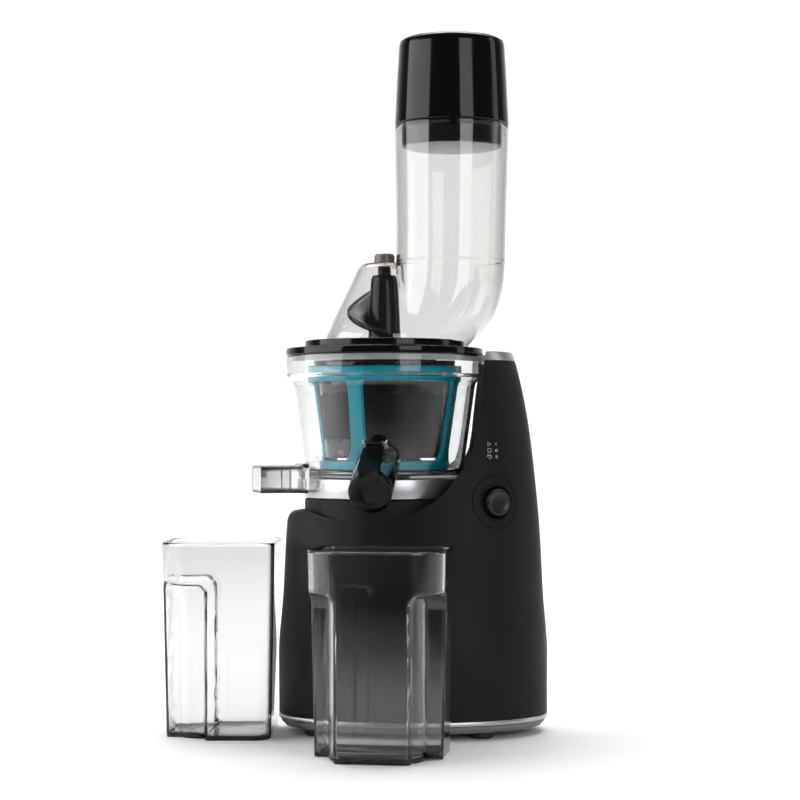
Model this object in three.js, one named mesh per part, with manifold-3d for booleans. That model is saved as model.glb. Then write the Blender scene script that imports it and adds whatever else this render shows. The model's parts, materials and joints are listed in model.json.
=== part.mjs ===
// A vertical slow juicer: an elliptical base with a tower that hugs the bowl, a clear bowl with a turning
// wiper frame, strainer and auger, a lid with a wide feed chute set to one side, a pusher and two jugs.
// Millimetres, +Z up. The parts are drawn about the bowl's axis, X to the tower, -Y to the juice spout.
import * as THREE from "three";
import { mergeVertices } from "three/addons/utils/BufferGeometryUtils.js";
import Module from "manifold-3d";

const wasm = await Module();
wasm.setup();

// ---- driving dimensions ----
const GAP = 0.3; // between pieces that touch
const WALL = 3; // opaque mouldings
const CLEAR_WALL = 2.5; // clear mouldings

// Base and tower: horizontal ellipses, [height, half width, half depth]
const BASE_X = 21.6;
const BASE_SECTIONS = [
  [14.3, 100.9, 66.8],
  [58, 101.1, 66.8],
  [104, 97.8, 64.6],
  [150, 95.4, 62.8],
  [190, 91.8, 61],
  [235, 86.1, 60],
  [277, 77, 58],
];
const TOWER_TOP = 284;
const TOWER_TOP_HALF = [74.6, 57.6];
const CAP_THICK = 6.7;

// The dish that the bowl stands in, [height, radius]
const DISH = [
  [159, 60],
  [165.6, 65.6],
  [172, 69.7],
  [179, 73.6],
  [190.6, 77.6],
  [201.4, 81.5],
  [218, 84.5],
  [245, 85],
];
const DISH_FLOOR = DISH[0][0];
const NECK_R = 60;
const DECK_Z = 174.6;
const COLLAR_TOP = 189.6;

const TRIM_Z = [10.5, 14];
const PLATE_Z = [5, 10.2];
const FOOT_R = 8;
const FEET = [
  ["foot_front_right", 72, -43],
  ["foot_rear_right", 72, 43],
  ["foot_front_left", -50, -30],
  ["foot_rear_left", -50, 30],
];

// Bowl: outside radius at each height, wall inside it
const BOWL_Z = 190;
const BOWL_TOP = 281;
const BOWL_OUTSIDE = [
  [59, BOWL_Z],
  [60.5, 203],
  [68.3, 260],
  [73.6, 266],
  [73.6, BOWL_TOP],
];
const BOWL_FLOOR = 193;

// Juice spout: a sloping tube at the front
const SPOUT_ROOT = new THREE.Vector3(-4.1, -60, 201.7);
const SPOUT_MOUTH = new THREE.Vector3(-8.7, -97.9, 183.7);
const SPOUT_R = 15.7;
const SPOUT_BORE = 13;
const HINGE_BACK = 12; // from the root along the tube
const HINGE_UP = 19.3; // from the tube's axis
const PIN_R = 1.5;

// Pulp outlet: a flat duct at the left, turned a little to the front
const OUTLET_TURN = THREE.MathUtils.degToRad(15);
const OUTLET_HALF_WIDTH = 17;
const OUTLET_Z = [179, 199.4];
const OUTLET_X = [-98, -61.5];
const PORT_X = [-35, -20];
const PORT_HALF_WIDTH = 8;

// Gears under the strainer: auger gear, idler, ring gear inside the wiper frame
const FRAME_MODULE = 2.5;
const AUGER_TEETH = 12;
const IDLER_TEETH = 10;
const RING_TEETH = AUGER_TEETH + 2 * IDLER_TEETH;
const FRAME_GEAR_Z = [194.3, 202.7];
const IDLER_ANGLE = THREE.MathUtils.degToRad(60);

// Posts of the wiper frame, in degrees about the bowl's axis
const POSTS = [-112.5, -22.5, 67.5, 157.5];

// Reduction gears under the bowl: motor pinion, compound gear, output gear
const FIRST_MODULE = 1.5;
const FIRST_TEETH = [10, 30];
const SECOND_MODULE = 2;
const SECOND_TEETH = [8, 32];
const GEAR_X = (SECOND_MODULE * (SECOND_TEETH[0] + SECOND_TEETH[1])) / 2;
const MOTOR_X = GEAR_X + (FIRST_MODULE * (FIRST_TEETH[0] + FIRST_TEETH[1])) / 2;

// Strainer and auger
const STRAINER_FLOOR = 205;
const STRAINER_TOP = 276;
const strainerRadius = (z) => 44 + ((z - STRAINER_FLOOR) * 6) / 65;
const SHAFT_HEX = 8;
const SHAFT_TOP = 236;
const AUGER_TOP = 342;

// Lid: dome about the bowl's axis, chute offset to the tower side
const LID_Z = 281.3;
const LID_STEP_Z = 287;
const LID_RING_TOP = 292.7;
const DOME_R = 44;
const DOME_TOP = 351;
const DOME_OUTSIDE = [
  [DOME_R, LID_Z + 0.5],
  [DOME_R, 295],
  [22.5, 341],
  [19, 349],
  [16, DOME_TOP],
];
// Chute: [height, centre X, outside radius] up the elbow and up the straight tube on it
const ELBOW = [
  [LID_STEP_Z + GAP, 19.8, 41.9],
  [300, 31.9, 41.8],
  [316, 42.7, 41.6],
  [338, 48.5, 41.4],
  [356, 49.8, 41.2],
];
const FEED_TUBE = [
  ELBOW.at(-1),
  [454.7, 50.7, 43],
];
const CHUTE_WALL = 3;
const CHUTE_X = 50.7;

// Pusher
const HANDLE_Z = [455, 519.5];
const HANDLE_R = [43, 39.9];
const PLUG_R = 37.6;
const PLUG_BOTTOM = 438.4;

// Jugs: both alike, [height, half width, half depth]
const JUG_BOTTOM = [0, 44.8, 39.3];
const JUG_TOP = [143.4, 48, 42];
const JUG_REAR_CORNER = 12;
const JUG_FRONT_CORNER = 28;
const JUG_WALL = 2.3;
const FLUTE_TOP = 115;
const FLUTE = { front: 10, side: 10.8, bulge: 26, length: 34 };
const JUICE_JUG = { x: -1.9, y: -130.5, turn: THREE.MathUtils.degToRad(-8.5) };
const PULP_JUG = { x: -121.2, y: -14, turn: THREE.MathUtils.degToRad(-91) };

// Push button, on the front right of the base
const BUTTON = { x: 82.4, y: -46.7, z: 172.8, turn: THREE.MathUtils.degToRad(29.6) };
const BUTTON_R = 10.6;
const BEZEL_R = 13.2;

const SCREWS = [40, 140, 220, 320].map((degrees) => {
  const angle = THREE.MathUtils.degToRad(degrees);
  return [BASE_X + 92.5 * Math.cos(angle), 58.5 * Math.sin(angle)];
});

// ---- materials ----
const finish = (color, roughness, metalness = 0, opacity = 1) =>
  new THREE.MeshStandardMaterial({ color, roughness, metalness, opacity, transparent: opacity < 1 });
const matteBlack = finish(0x1c1c1e, 0.6);
const glossBlack = finish(0x0b0b0c, 0.12);
const silver = finish(0xb9bcc0, 0.35, 0.9);
const grey = finish(0x6f7173, 0.6);
const rubber = finish(0x202020, 0.8);
const clear = finish(0xdfe6e8, 0.08, 0, 0.35);
const smoky = finish(0x8d8d8d, 0.1, 0, 0.45);
const cyan = finish(0x17a9c9, 0.35);
const dark = finish(0x242427, 0.4);
const silicone = finish(0xd8d8d6, 0.7);
const steel = finish(0x9a9da1, 0.3, 1);
const nylon = finish(0xe6e2d6, 0.5);
const brass = finish(0xb08d4a, 0.35, 1);
const board = finish(0x1f5a35, 0.6);
const brown = finish(0x6b5b4e, 0.4);

// ---- solids ----

// A closed geometry as a solid, with its faces turned outwards.
function solid(geometry) {
  const bare = geometry.clone();
  bare.deleteAttribute("normal");
  bare.deleteAttribute("uv");
  const merged = mergeVertices(bare, 1e-4);
  const faces = [];
  for (let i = 0; i < merged.index.count; i += 3) {
    const [a, b, c] = [0, 1, 2].map((k) => merged.index.getX(i + k));
    if (a !== b && b !== c && c !== a) faces.push([a, b, c]);
  }
  const make = (list) =>
    new wasm.Manifold(
      new wasm.Mesh({
        numProp: 3,
        vertProperties: new Float32Array(merged.attributes.position.array),
        triVerts: new Uint32Array(list.flat()),
      }),
    );
  const made = make(faces);
  return made.volume() > 0 ? made : make(faces.map(([a, b, c]) => [a, c, b]));
}

function geometryOf(shape) {
  const { vertProperties, triVerts } = shape.getMesh();
  const geometry = new THREE.BufferGeometry();
  geometry.setAttribute("position", new THREE.BufferAttribute(vertProperties, 3));
  geometry.setIndex(new THREE.BufferAttribute(triVerts, 1));
  geometry.computeVertexNormals();
  return geometry;
}

const union = (...shapes) => shapes.reduce((sum, shape) => sum.add(shape));
const cut = (shape, ...cutters) => cutters.reduce((rest, cutter) => rest.subtract(cutter), shape);

// A profile of [radius, height] turned about the Z axis.
function turned(profile, segments = 32) {
  const points = profile.map(([r, z]) => new THREE.Vector2(r, z));
  return solid(new THREE.LatheGeometry(points, segments).rotateX(Math.PI / 2));
}

// A ring between two radii and two heights.
function ring(inner, outer, low, high, segments = 32) {
  return turned([[inner, low], [outer, low], [outer, high], [inner, high], [inner, low]], segments);
}

function disc(radius, low, high, segments = 32, x = 0, y = 0) {
  const geometry = new THREE.CylinderGeometry(radius, radius, high - low, segments).rotateX(Math.PI / 2);
  return solid(geometry.translate(x, y, (low + high) / 2));
}

// A disc whose axis is Y, as the pieces of the spout and the button are drawn.
function discY(radius, low, high, segments = 24, x = 0, z = 0) {
  const geometry = new THREE.CylinderGeometry(radius, radius, high - low, segments);
  return solid(geometry.translate(x, (low + high) / 2, z));
}

function block(x, y, z) {
  const geometry = new THREE.BoxGeometry(x[1] - x[0], y[1] - y[0], z[1] - z[0]);
  return solid(geometry.translate((x[0] + x[1]) / 2, (y[0] + y[1]) / 2, (z[0] + z[1]) / 2));
}

function extruded(shape, low, high, curveSegments = 8) {
  const options = { depth: high - low, bevelEnabled: false, curveSegments };
  return solid(new THREE.ExtrudeGeometry(shape, options).translate(0, 0, low));
}

// Rings of points joined into a closed skin with flat ends.
function lofted(rings) {
  const count = rings[0].length;
  const faces = [];
  for (let k = 0; k + 1 < rings.length; k++) {
    for (let i = 0; i < count; i++) {
      const [a, b] = [k * count + i, k * count + ((i + 1) % count)];
      faces.push([a, b, b + count], [a, b + count, a + count]);
    }
  }
  const ends = THREE.ShapeUtils.triangulateShape(rings[0].map((p) => new THREE.Vector2(p.x, p.y)), []);
  const last = (rings.length - 1) * count;
  for (const [a, b, c] of ends) faces.push([a, c, b], [last + a, last + b, last + c]);
  const geometry = new THREE.BufferGeometry().setFromPoints(rings.flat());
  geometry.setIndex(faces.flat());
  return solid(geometry);
}

function ellipse(x, halfWidth, halfDepth, z, segments = 32) {
  return Array.from({ length: segments }, (_, i) => {
    const angle = (i * 2 * Math.PI) / segments;
    return new THREE.Vector3(x + halfWidth * Math.cos(angle), halfDepth * Math.sin(angle), z);
  });
}

function roundedRectangle(halfWidth, halfDepth, rear, z, arc = 5, front = rear) {
  const corners = [[1, 1, 0], [-1, 1, 1], [-1, -1, 2], [1, -1, 3]];
  return corners.flatMap(([sx, sy, quarter]) =>
    Array.from({ length: arc + 1 }, (_, i) => {
      const angle = ((quarter + i / arc) * Math.PI) / 2;
      const radius = sy > 0 ? rear : front;
      const x = sx * (halfWidth - radius) + radius * Math.cos(angle);
      const y = sy * (halfDepth - radius) + radius * Math.sin(angle);
      return new THREE.Vector3(x, y, z);
    }),
  );
}

// Straight-sided gear teeth with running clearance; a tooth points along +X at turn 0.
function gearOutline(module, teeth, turn = 0, inside = false) {
  const pitch = (module * teeth) / 2;
  const side = inside ? -1 : 1;
  const [root, tip] = [pitch - side * 0.95 * module, pitch + side * 0.6 * module];
  const step = (2 * Math.PI) / teeth;
  const points = [];
  for (let i = 0; i < teeth; i++) {
    const at = turn + i * step;
    for (const [radius, offset] of [[root, -0.29], [tip, -0.12], [tip, 0.12], [root, 0.29]]) {
      const angle = at + offset * step;
      points.push(new THREE.Vector2(radius * Math.cos(angle), radius * Math.sin(angle)));
    }
  }
  return points;
}

function gear(module, teeth, low, high, turn = 0) {
  return extruded(new THREE.Shape(gearOutline(module, teeth, turn)), low, high);
}

const hexagon = (radius, low, high) => disc(radius, low, high, 6);

// ---- base ----

const baseRings = (inset, segments) =>
  BASE_SECTIONS.map(([z, a, b]) => ellipse(BASE_X, a - inset, b - inset, z, segments));

// The space that the dish takes out of the base, grown by a wall where the base is hollowed.
function dishSpace(grow, segments) {
  const side = DISH.map(([z, r]) => [r + grow, z - grow]);
  return turned([[0, DISH_FLOOR - grow], ...side, [DISH.at(-1)[1] + grow, 300], [0, 300]], segments);
}

// From the button's own frame, -Y outwards, to the base.
function atButton(shape) {
  const matrix = new THREE.Matrix4().makeRotationZ(BUTTON.turn).setPosition(BUTTON.x, BUTTON.y, BUTTON.z);
  return solid(geometryOf(shape).applyMatrix4(matrix));
}

function makeBaseShell() {
  const outside = union(
    cut(lofted(baseRings(0, 40)), dishSpace(0, 40)),
    disc(NECK_R, DISH_FLOOR - 5, DECK_Z),
  );
  const inside = union(
    cut(lofted(baseRings(WALL, 24)), dishSpace(WALL, 24)),
    disc(NECK_R - WALL, DISH_FLOOR - 8, DECK_Z - WALL, 24),
  );
  const bosses = SCREWS.map(([x, y]) => disc(5.5, 14.3, 32, 12, x, y));
  const boss = bosses.map((post) => post.intersect(lofted(baseRings(1, 24))));
  const holes = SCREWS.map(([x, y]) => disc(1.9, 12, 28, 8, x, y));
  const gland = discY(7.3, 50, 80, 20, BASE_X, 27);
  return cut(
    union(cut(outside, inside), ...boss),
    disc(16, DECK_Z - 5, DECK_Z + 5, 24),
    atButton(discY(BEZEL_R + GAP, -8, 14)),
    gland,
    ...holes,
  );
}

function makeTowerCap() {
  const low = TOWER_TOP - CAP_THICK;
  const [a, b] = TOWER_TOP_HALF;
  const plate = lofted([ellipse(BASE_X, 77, 58, low), ellipse(BASE_X, a, b, TOWER_TOP)]);
  return cut(plate, turned([[0, 270], [DISH.at(-1)[1], 270], [DISH.at(-1)[1], 300], [0, 300]]));
}

function makeCollarRing() {
  const notch = outletSpace(OUTLET_HALF_WIDTH + GAP, [OUTLET_Z[0] - GAP, 200], [-80, -30]);
  return cut(ring(52, NECK_R, DECK_Z + GAP, COLLAR_TOP), notch);
}

function makeTrimRing() {
  const outer = TRIM_Z.map((z) => ellipse(BASE_X, 101.3, 67.1, z));
  const inner = [TRIM_Z[0] - 1, TRIM_Z[1] + 1].map((z) => ellipse(BASE_X, 98, 63.8, z));
  return cut(lofted(outer), lofted(inner));
}

function makeBottomPlate() {
  const plate = lofted([ellipse(BASE_X, 96.5, 62.3, PLATE_Z[0]), ellipse(BASE_X, 99.5, 65.3, PLATE_Z[1])]);
  const holes = SCREWS.flatMap(([x, y]) => [disc(2, 0, 20, 8, x, y), disc(3.7, 0, 7.5, 8, x, y)]);
  return cut(plate, ...holes);
}

function makeScrew(x, y) {
  return union(disc(3.2, 5.2, 7.2, 8, x, y), disc(1.6, 6, 26, 8, x, y));
}

const makeFoot = (x, y) => turned([[0, 0], [FOOT_R - 1, 0], [FOOT_R, 1], [FOOT_R, 4.7], [0, 4.7]], 16)
  .translate([x, y, 0]);

function makeButtonCap() {
  return cut(discY(BUTTON_R, -4, 6), discY(BUTTON_R - 1.6, -2.2, 8));
}

function makeButtonBezel() {
  return cut(discY(BEZEL_R, -0.8, 11), discY(BUTTON_R + GAP, -2, 9.6), discY(5, 5, 12));
}

const makeSwitchModule = () => union(block([-5, 8], [11.4, 16], [-7, 2.5]), discY(2.5, 0.5, 12, 8));

function makeCordGland() {
  const body = union(discY(7, 60, 69.6, 20, BASE_X, 27), discY(9.5, 67.2, 69.6, 20, BASE_X, 27));
  return cut(body, discY(3.7, 50, 80, 16, BASE_X, 27));
}

// ---- drive ----

function makeMotorCan() {
  const shell = cut(disc(28, 16, 84, 24, MOTOR_X), disc(25.5, 18.5, 90, 24, MOTOR_X));
  return cut(shell, disc(3.4, 10, 20, 16, MOTOR_X));
}

const makeMotorEndPlate = () => cut(disc(28, 84.3, 87.7, 24, MOTOR_X), disc(3.4, 80, 90, 12, MOTOR_X));

const makeMotorRotor = () => union(disc(18, 28, 76, 24, MOTOR_X), disc(3, 16.5, 103, 12, MOTOR_X));

function makeMotorPinion() {
  const teeth = gear(FIRST_MODULE, FIRST_TEETH[0], 94, 103.5, Math.PI).translate([MOTOR_X, 0, 0]);
  return cut(teeth, disc(3.3, 90, 110, 12, MOTOR_X));
}

function makeCompoundGear() {
  const large = gear(FIRST_MODULE, FIRST_TEETH[1], 94.3, 103, Math.PI / FIRST_TEETH[1]);
  const small = gear(SECOND_MODULE, SECOND_TEETH[0], 102, 119, Math.PI);
  return cut(union(large, small), disc(3.2, 90, 130, 12)).translate([GEAR_X, 0, 0]);
}

const makeGearPin = () => disc(3, 88.8, 121, 12, GEAR_X);

function makeOutputGear() {
  const teeth = gear(SECOND_MODULE, SECOND_TEETH[1], 106, 117, Math.PI / SECOND_TEETH[1]);
  return cut(teeth, disc(SHAFT_HEX + GAP, 100, 120, 24));
}

function makeOutputShaft() {
  const journal = disc(SHAFT_HEX, 94, 180, 24);
  return union(journal, hexagon(SHAFT_HEX, 179, SHAFT_TOP));
}

function trayShape(inset) {
  const outline = roundedRectangle(61 - inset, 38 - inset, 30 - inset, 0, 6);
  return new THREE.Shape(outline.map((p) => new THREE.Vector2(p.x + 23, p.y)));
}

function makeGearboxTray() {
  const tray = cut(extruded(trayShape(0), 88, 122), extruded(trayShape(WALL), 91, 130));
  const post = union(disc(6.5, 88, 93.8, 16, GEAR_X), disc(11, 88, 93.5, 24));
  const holes = [disc(3.4, 80, 100, 12, MOTOR_X), disc(3.3, 88.5, 100, 12, GEAR_X)];
  return cut(union(tray, post), ...holes);
}

function makeGearboxCover() {
  const top = DECK_Z - WALL - GAP;
  const tube = union(ring(22, 26, 122.3, top, 24), ring(22, 42, 167.5, top, 24));
  const hub = ring(12, 23, 122.3, 136, 24);
  const plate = cut(extruded(trayShape(0), 122.3, 125.5), disc(21, 100, 150, 24));
  return union(plate, tube, hub);
}

const makeOutputBush = () => ring(SHAFT_HEX + 0.1, 11.7, 120, 138, 24);
const makeShaftSeal = () => ring(SHAFT_HEX + 0.5, 15.7, DECK_Z - 2.6, DECK_Z + 2, 24);
const makeControlBoard = () => block([12, 74], [44, 45.6], [30, 84]);
const makeInterlockSwitch = () => block([89.2, 94.4], [-9, 9], [258, 270]);

// ---- bowl ----

// A box in the pulp outlet's direction, by its half width, heights and distances along it.
function outletSpace(halfWidth, heights, along) {
  const matrix = new THREE.Matrix4().makeRotationZ(OUTLET_TURN);
  return solid(geometryOf(block(along, [-halfWidth, halfWidth], heights)).applyMatrix4(matrix));
}

// From the spout's own frame, -Y out of the mouth and Z up off the tube, to the bowl.
const spoutMatrix = (() => {
  const out = SPOUT_MOUTH.clone().sub(SPOUT_ROOT).normalize();
  const back = out.clone().negate();
  const up = new THREE.Vector3(0, 0, 1).addScaledVector(out, -out.z).normalize();
  const across = back.clone().cross(up);
  return new THREE.Matrix4().makeBasis(across, back, up).setPosition(SPOUT_ROOT);
})();
const atSpout = (shape) => solid(geometryOf(shape).applyMatrix4(spoutMatrix));
const SPOUT_LENGTH = SPOUT_MOUTH.distanceTo(SPOUT_ROOT);

// Two ears on the tube for the cap's hinge pin.
function makeHingeEars() {
  const ears = [-1, 1].map((side) => {
    const x = side > 0 ? [6.3, 8.8] : [-8.8, -6.3];
    const ear = block(x, [-HINGE_BACK - 4, -HINGE_BACK + 4], [11, HINGE_UP + 3.5]);
    const hole = new THREE.CylinderGeometry(PIN_R + 0.1, PIN_R + 0.1, 30, 16).rotateZ(Math.PI / 2);
    return cut(ear, solid(hole.translate(0, -HINGE_BACK, HINGE_UP)));
  });
  return union(...ears);
}

function makeJuiceBowl() {
  const outside = turned([[0, BOWL_Z], ...BOWL_OUTSIDE, [0, BOWL_TOP]]);
  const wall = BOWL_OUTSIDE.map(([r, z]) => [r - CLEAR_WALL, z]);
  wall[0][1] = BOWL_FLOOR;
  const inside = turned([[0, BOWL_FLOOR], ...wall, [wall.at(-1)[0], BOWL_TOP + 5], [0, BOWL_TOP + 5]], 28);
  const tube = atSpout(union(discY(SPOUT_R, -SPOUT_LENGTH, 8), makeHingeEars()));
  const bore = atSpout(discY(SPOUT_BORE, -SPOUT_LENGTH - 5, 12));
  const sill = disc(63, 150, BOWL_FLOOR);
  const port = outletSpace(PORT_HALF_WIDTH + 1.5, [BOWL_Z, 204.6], [PORT_X[0] - 1.5, PORT_X[1] + 1.5]);
  const portHole = outletSpace(PORT_HALF_WIDTH, [180, 210], PORT_X);
  const outletSeat = outletSpace(OUTLET_HALF_WIDTH + GAP, [170, OUTLET_Z[1] + GAP], [-80, -61.2]);
  const shell = union(cut(union(outside, tube), inside), port);
  const idler = idlerPlace();
  return cut(
    shell,
    cut(bore, sill),
    disc(NECK_R + 0.4, 150, BOWL_Z - 0.01),
    disc(14, 180, 200, 24),
    portHole,
    outletSeat,
    disc(3.3, 191, 200, 12, idler.x, idler.y),
  );
}

function makePulpOutlet() {
  const w = OUTLET_HALF_WIDTH;
  const duct = union(
    outletSpace(w, OUTLET_Z, OUTLET_X),
    outletSpace(w + 2, [OUTLET_Z[0], OUTLET_Z[1] + 1.5], [-66, OUTLET_X[1]]),
    outletSpace(w - 4, [OUTLET_Z[0], BOWL_Z - GAP], [-64, PORT_X[1] + 2]),
  );
  const bore = union(
    outletSpace(w - 2.2, [OUTLET_Z[0] + 2.2, OUTLET_Z[1] - 2.2], [-110, -63.5]),
    outletSpace(w - 6, [OUTLET_Z[0] + 2.2, BOWL_Z - 2.5], [-70, PORT_X[1]]),
    outletSpace(PORT_HALF_WIDTH, [OUTLET_Z[0] + 2.2, BOWL_Z + 2], PORT_X),
  );
  return cut(duct, bore);
}

function capArm() {
  const knuckle = new THREE.CylinderGeometry(3.2, 3.2, 12, 16).rotateZ(Math.PI / 2);
  const hole = new THREE.CylinderGeometry(PIN_R + 0.1, PIN_R + 0.1, 30, 16).rotateZ(Math.PI / 2);
  const strap = block([-6, 6], [-SPOUT_LENGTH - 5.5, -HINGE_BACK], [HINGE_UP - 1.7, HINGE_UP + 1.8]);
  const arm = union(strap, solid(knuckle.translate(0, -HINGE_BACK, HINGE_UP)));
  return cut(arm, solid(hole.translate(0, -HINGE_BACK, HINGE_UP)));
}

function makeSpoutCap() {
  const face = -SPOUT_LENGTH - 2.3;
  const neck = block([-6, 6], [face - 4.2, face], [8, HINGE_UP]);
  return atSpout(union(discY(SPOUT_R, face - 4.2, face), neck, capArm()));
}

const makeCapSeal = () => atSpout(discY(14, -SPOUT_LENGTH - 2, -SPOUT_LENGTH - GAP));

function makeCapHingePin() {
  const pin = new THREE.CylinderGeometry(PIN_R, PIN_R, 19, 16).rotateZ(Math.PI / 2);
  return atSpout(solid(pin.translate(0, -HINGE_BACK, HINGE_UP)));
}

const makeBowlSeal = () => ring(9, 13.7, BOWL_Z, 193.6, 24);

// ---- strainer, wiper frame and auger ----

function idlerPlace() {
  const distance = (FRAME_MODULE * (AUGER_TEETH + IDLER_TEETH)) / 2;
  return { x: distance * Math.cos(IDLER_ANGLE), y: distance * Math.sin(IDLER_ANGLE) };
}

function makeStrainer() {
  const [low, high] = [STRAINER_FLOOR, 270];
  const cup = turned([
    [17.3, low],
    [strainerRadius(low), low],
    [strainerRadius(high), high],
    [53.4, high + 2],
    [53.4, STRAINER_TOP],
    [50.5, STRAINER_TOP],
    [strainerRadius(high) - 1.6, high],
    [strainerRadius(low) - 1.6, low + 2],
    [17.3, low + 2],
    [17.3, low],
  ]);
  const windows = [0, 60, 120, 180, 240, 300].map((degrees) => {
    const opening = block([35, 60], [-18, 18], [216, 250]);
    return opening.rotate([0, 0, degrees + 7.5]);
  });
  const port = outletSpace(PORT_HALF_WIDTH, [200, 210], PORT_X);
  return cut(cup, ...windows, port);
}

function makeStrainerScreen() {
  const [low, high] = [212, 254];
  const [inner, outer] = [2.6, 1.9];
  return turned([
    [strainerRadius(low) - inner, low],
    [strainerRadius(low) - outer, low],
    [strainerRadius(high) - outer, high],
    [strainerRadius(high) - inner, high],
    [strainerRadius(low) - inner, low],
  ]);
}

// Four posts join the toothed bottom ring to the top ring.
function makeBrushFrame() {
  const top = ring(53.9, 58, 263, 275);
  const rim = disc(49, ...FRAME_GEAR_Z);
  const outline = gearOutline(FRAME_MODULE, RING_TEETH, IDLER_ANGLE, true);
  const teeth = extruded(new THREE.Shape(outline), 190, 210);
  const posts = POSTS.map((degrees) => {
    const section = (z, r) => [[r, -6], [r + 3.4, -5.2], [r + 3.4, 5.2], [r, 6]]
      .map(([x, y]) => new THREE.Vector3(x, y, z));
    return lofted([section(201, 45.2), section(206, 46), section(268, 54.2)]).rotate([0, 0, degrees]);
  });
  return union(top, cut(rim, teeth), ...posts);
}

// A silicone blade on the inner face of each post, just clear of the strainer.
function makeWiperBlade(degrees) {
  const section = (z, r) => [[r, -2.5], [r + 1, -2.5], [r + 1, 2.5], [r, 2.5]]
    .map(([x, y]) => new THREE.Vector3(x, y, z));
  return lofted([section(208, 44.6), section(260, 49.5)]).rotate([0, 0, degrees]);
}

// The flight fills the strainer, then narrows with the dome above it.
const augerFlight = (z) => Math.min(strainerRadius(z) - 3, 40, 39 - 0.5 * (z - 292));
const augerCore = (z) => 12 + 13 * Math.max(0, (300 - z) / 92) ** 1.3;

// The helical flight: a square-edged ridge that climbs twice round the core.
function augerThread(start) {
  const [low, high, turns, steps] = [213, 328, 1.6, 24];
  const rings = Array.from({ length: steps + 1 }, (_, i) => {
    const z = low + ((high - low) * i) / steps;
    const angle = start + (turns * 2 * Math.PI * i) / steps;
    const [inner, outer] = [augerCore(z) - 4, augerFlight(z)];
    return [[inner, -3.4], [outer, -2.2], [outer, 2.2], [inner, 3.4]].map(
      ([r, dz]) => new THREE.Vector3(r * Math.cos(angle), r * Math.sin(angle), z + dz),
    );
  });
  return sweptQuads(rings);
}

// Four-cornered sections joined along a path, with both ends closed.
function sweptQuads(sections) {
  const faces = [];
  for (let k = 0; k + 1 < sections.length; k++) {
    for (let i = 0; i < 4; i++) {
      const [a, b] = [4 * k + i, 4 * k + ((i + 1) % 4)];
      faces.push([a, b, b + 4], [a, b + 4, a + 4]);
    }
  }
  const last = 4 * (sections.length - 1);
  faces.push([0, 2, 1], [0, 3, 2], [last, last + 1, last + 2], [last, last + 2, last + 3]);
  const geometry = new THREE.BufferGeometry().setFromPoints(sections.flat());
  geometry.setIndex(faces.flat());
  return solid(geometry);
}

function makeAuger() {
  const heights = [207.6, 225, 250, 275, 300];
  const core = turned([
    [0, 203.1],
    [16, 203.1],
    [16, 207.6],
    ...heights.map((z) => [augerCore(z), z]),
    [12, AUGER_TOP - 3],
    [9, AUGER_TOP],
    [5, AUGER_TOP],
    [5, 355],
    [0, 355],
  ], 20);
  const socket = hexagon(SHAFT_HEX + 0.4, 190, SHAFT_TOP + 2);
  return cut(union(core, augerThread(0), augerThread(Math.PI)), socket);
}

function makeAugerGear() {
  const teeth = gear(FRAME_MODULE, AUGER_TEETH, ...FRAME_GEAR_Z, IDLER_ANGLE);
  return cut(teeth, hexagon(SHAFT_HEX + 0.4, 190, 210));
}

function makeIdlerGear() {
  const { x, y } = idlerPlace();
  const turn = IDLER_ANGLE + Math.PI + Math.PI / IDLER_TEETH;
  const teeth = gear(FRAME_MODULE, IDLER_TEETH, 194.6, 202.4, turn);
  return cut(teeth, disc(3.1, 190, 210, 16)).translate([x, y, 0]);
}

function makeIdlerPin() {
  const { x, y } = idlerPlace();
  return disc(3, 191.3, 203, 16, x, y);
}

// ---- lid ----

// Rings up a stretch of the chute, drawn in by inset and made longer by low and high.
const chuteRings = (rows, inset, low, high) =>
  rows.map(([z, x, r], i) => {
    const height = i === 0 ? z - low : i === rows.length - 1 ? z + high : z;
    return ellipse(x, r - inset, r - inset, height, 32);
  });

// The dome over the auger and the elbow beside it are one moulding.
function makeLidDome() {
  const low = DOME_OUTSIDE[0][1];
  const dome = turned([[0, low], ...DOME_OUTSIDE, [0, DOME_TOP]]);
  const inner = DOME_OUTSIDE.map(([r, z]) => [r - CLEAR_WALL, z]);
  inner[0][1] -= 5;
  inner.at(-1)[1] = DOME_TOP - CLEAR_WALL;
  const domeSpace = turned([[0, inner[0][1]], ...inner, [0, DOME_TOP - CLEAR_WALL]], 24);
  const elbow = lofted(chuteRings(ELBOW, 0, 0, 0));
  const elbowSpace = lofted(chuteRings(ELBOW, CHUTE_WALL, 5, 5));
  return cut(union(dome, elbow), domeSpace, elbowSpace, disc(6, 340, 360, 24));
}

// The straight tube above the elbow.
const makeFeedTube = () => cut(
  lofted(chuteRings(FEED_TUBE, 0, -GAP, 0)),
  lofted(chuteRings(FEED_TUBE, CHUTE_WALL, 5, 5)),
);

function makeLidRing() {
  const profile = [
    [DOME_R + GAP, 278],
    [66, 278],
    [66, LID_Z],
    [74.2, LID_Z],
    [74.2, LID_STEP_Z],
    [60, LID_STEP_Z],
    [60, LID_RING_TOP],
    [DOME_R + GAP, LID_RING_TOP],
    [DOME_R + GAP, 278],
  ];
  return cut(turned(profile), lofted(chuteRings(ELBOW, -GAP, GAP, 0)));
}

const makeLidSeal = () => ring(66.3, 70.2, 276.5, LID_Z - GAP);

function makeBearingCap() {
  const low = DOME_TOP + GAP;
  const neck = [[0, 346], [5.7, 346], [5.7, low]];
  const cap = turned([...neck, [7.7, low], [7.7, 357], [6.5, 358.5], [0, 358.5]], 16);
  return cut(cap, disc(5.2, 340, 356, 16));
}

// ---- pusher ----

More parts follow.
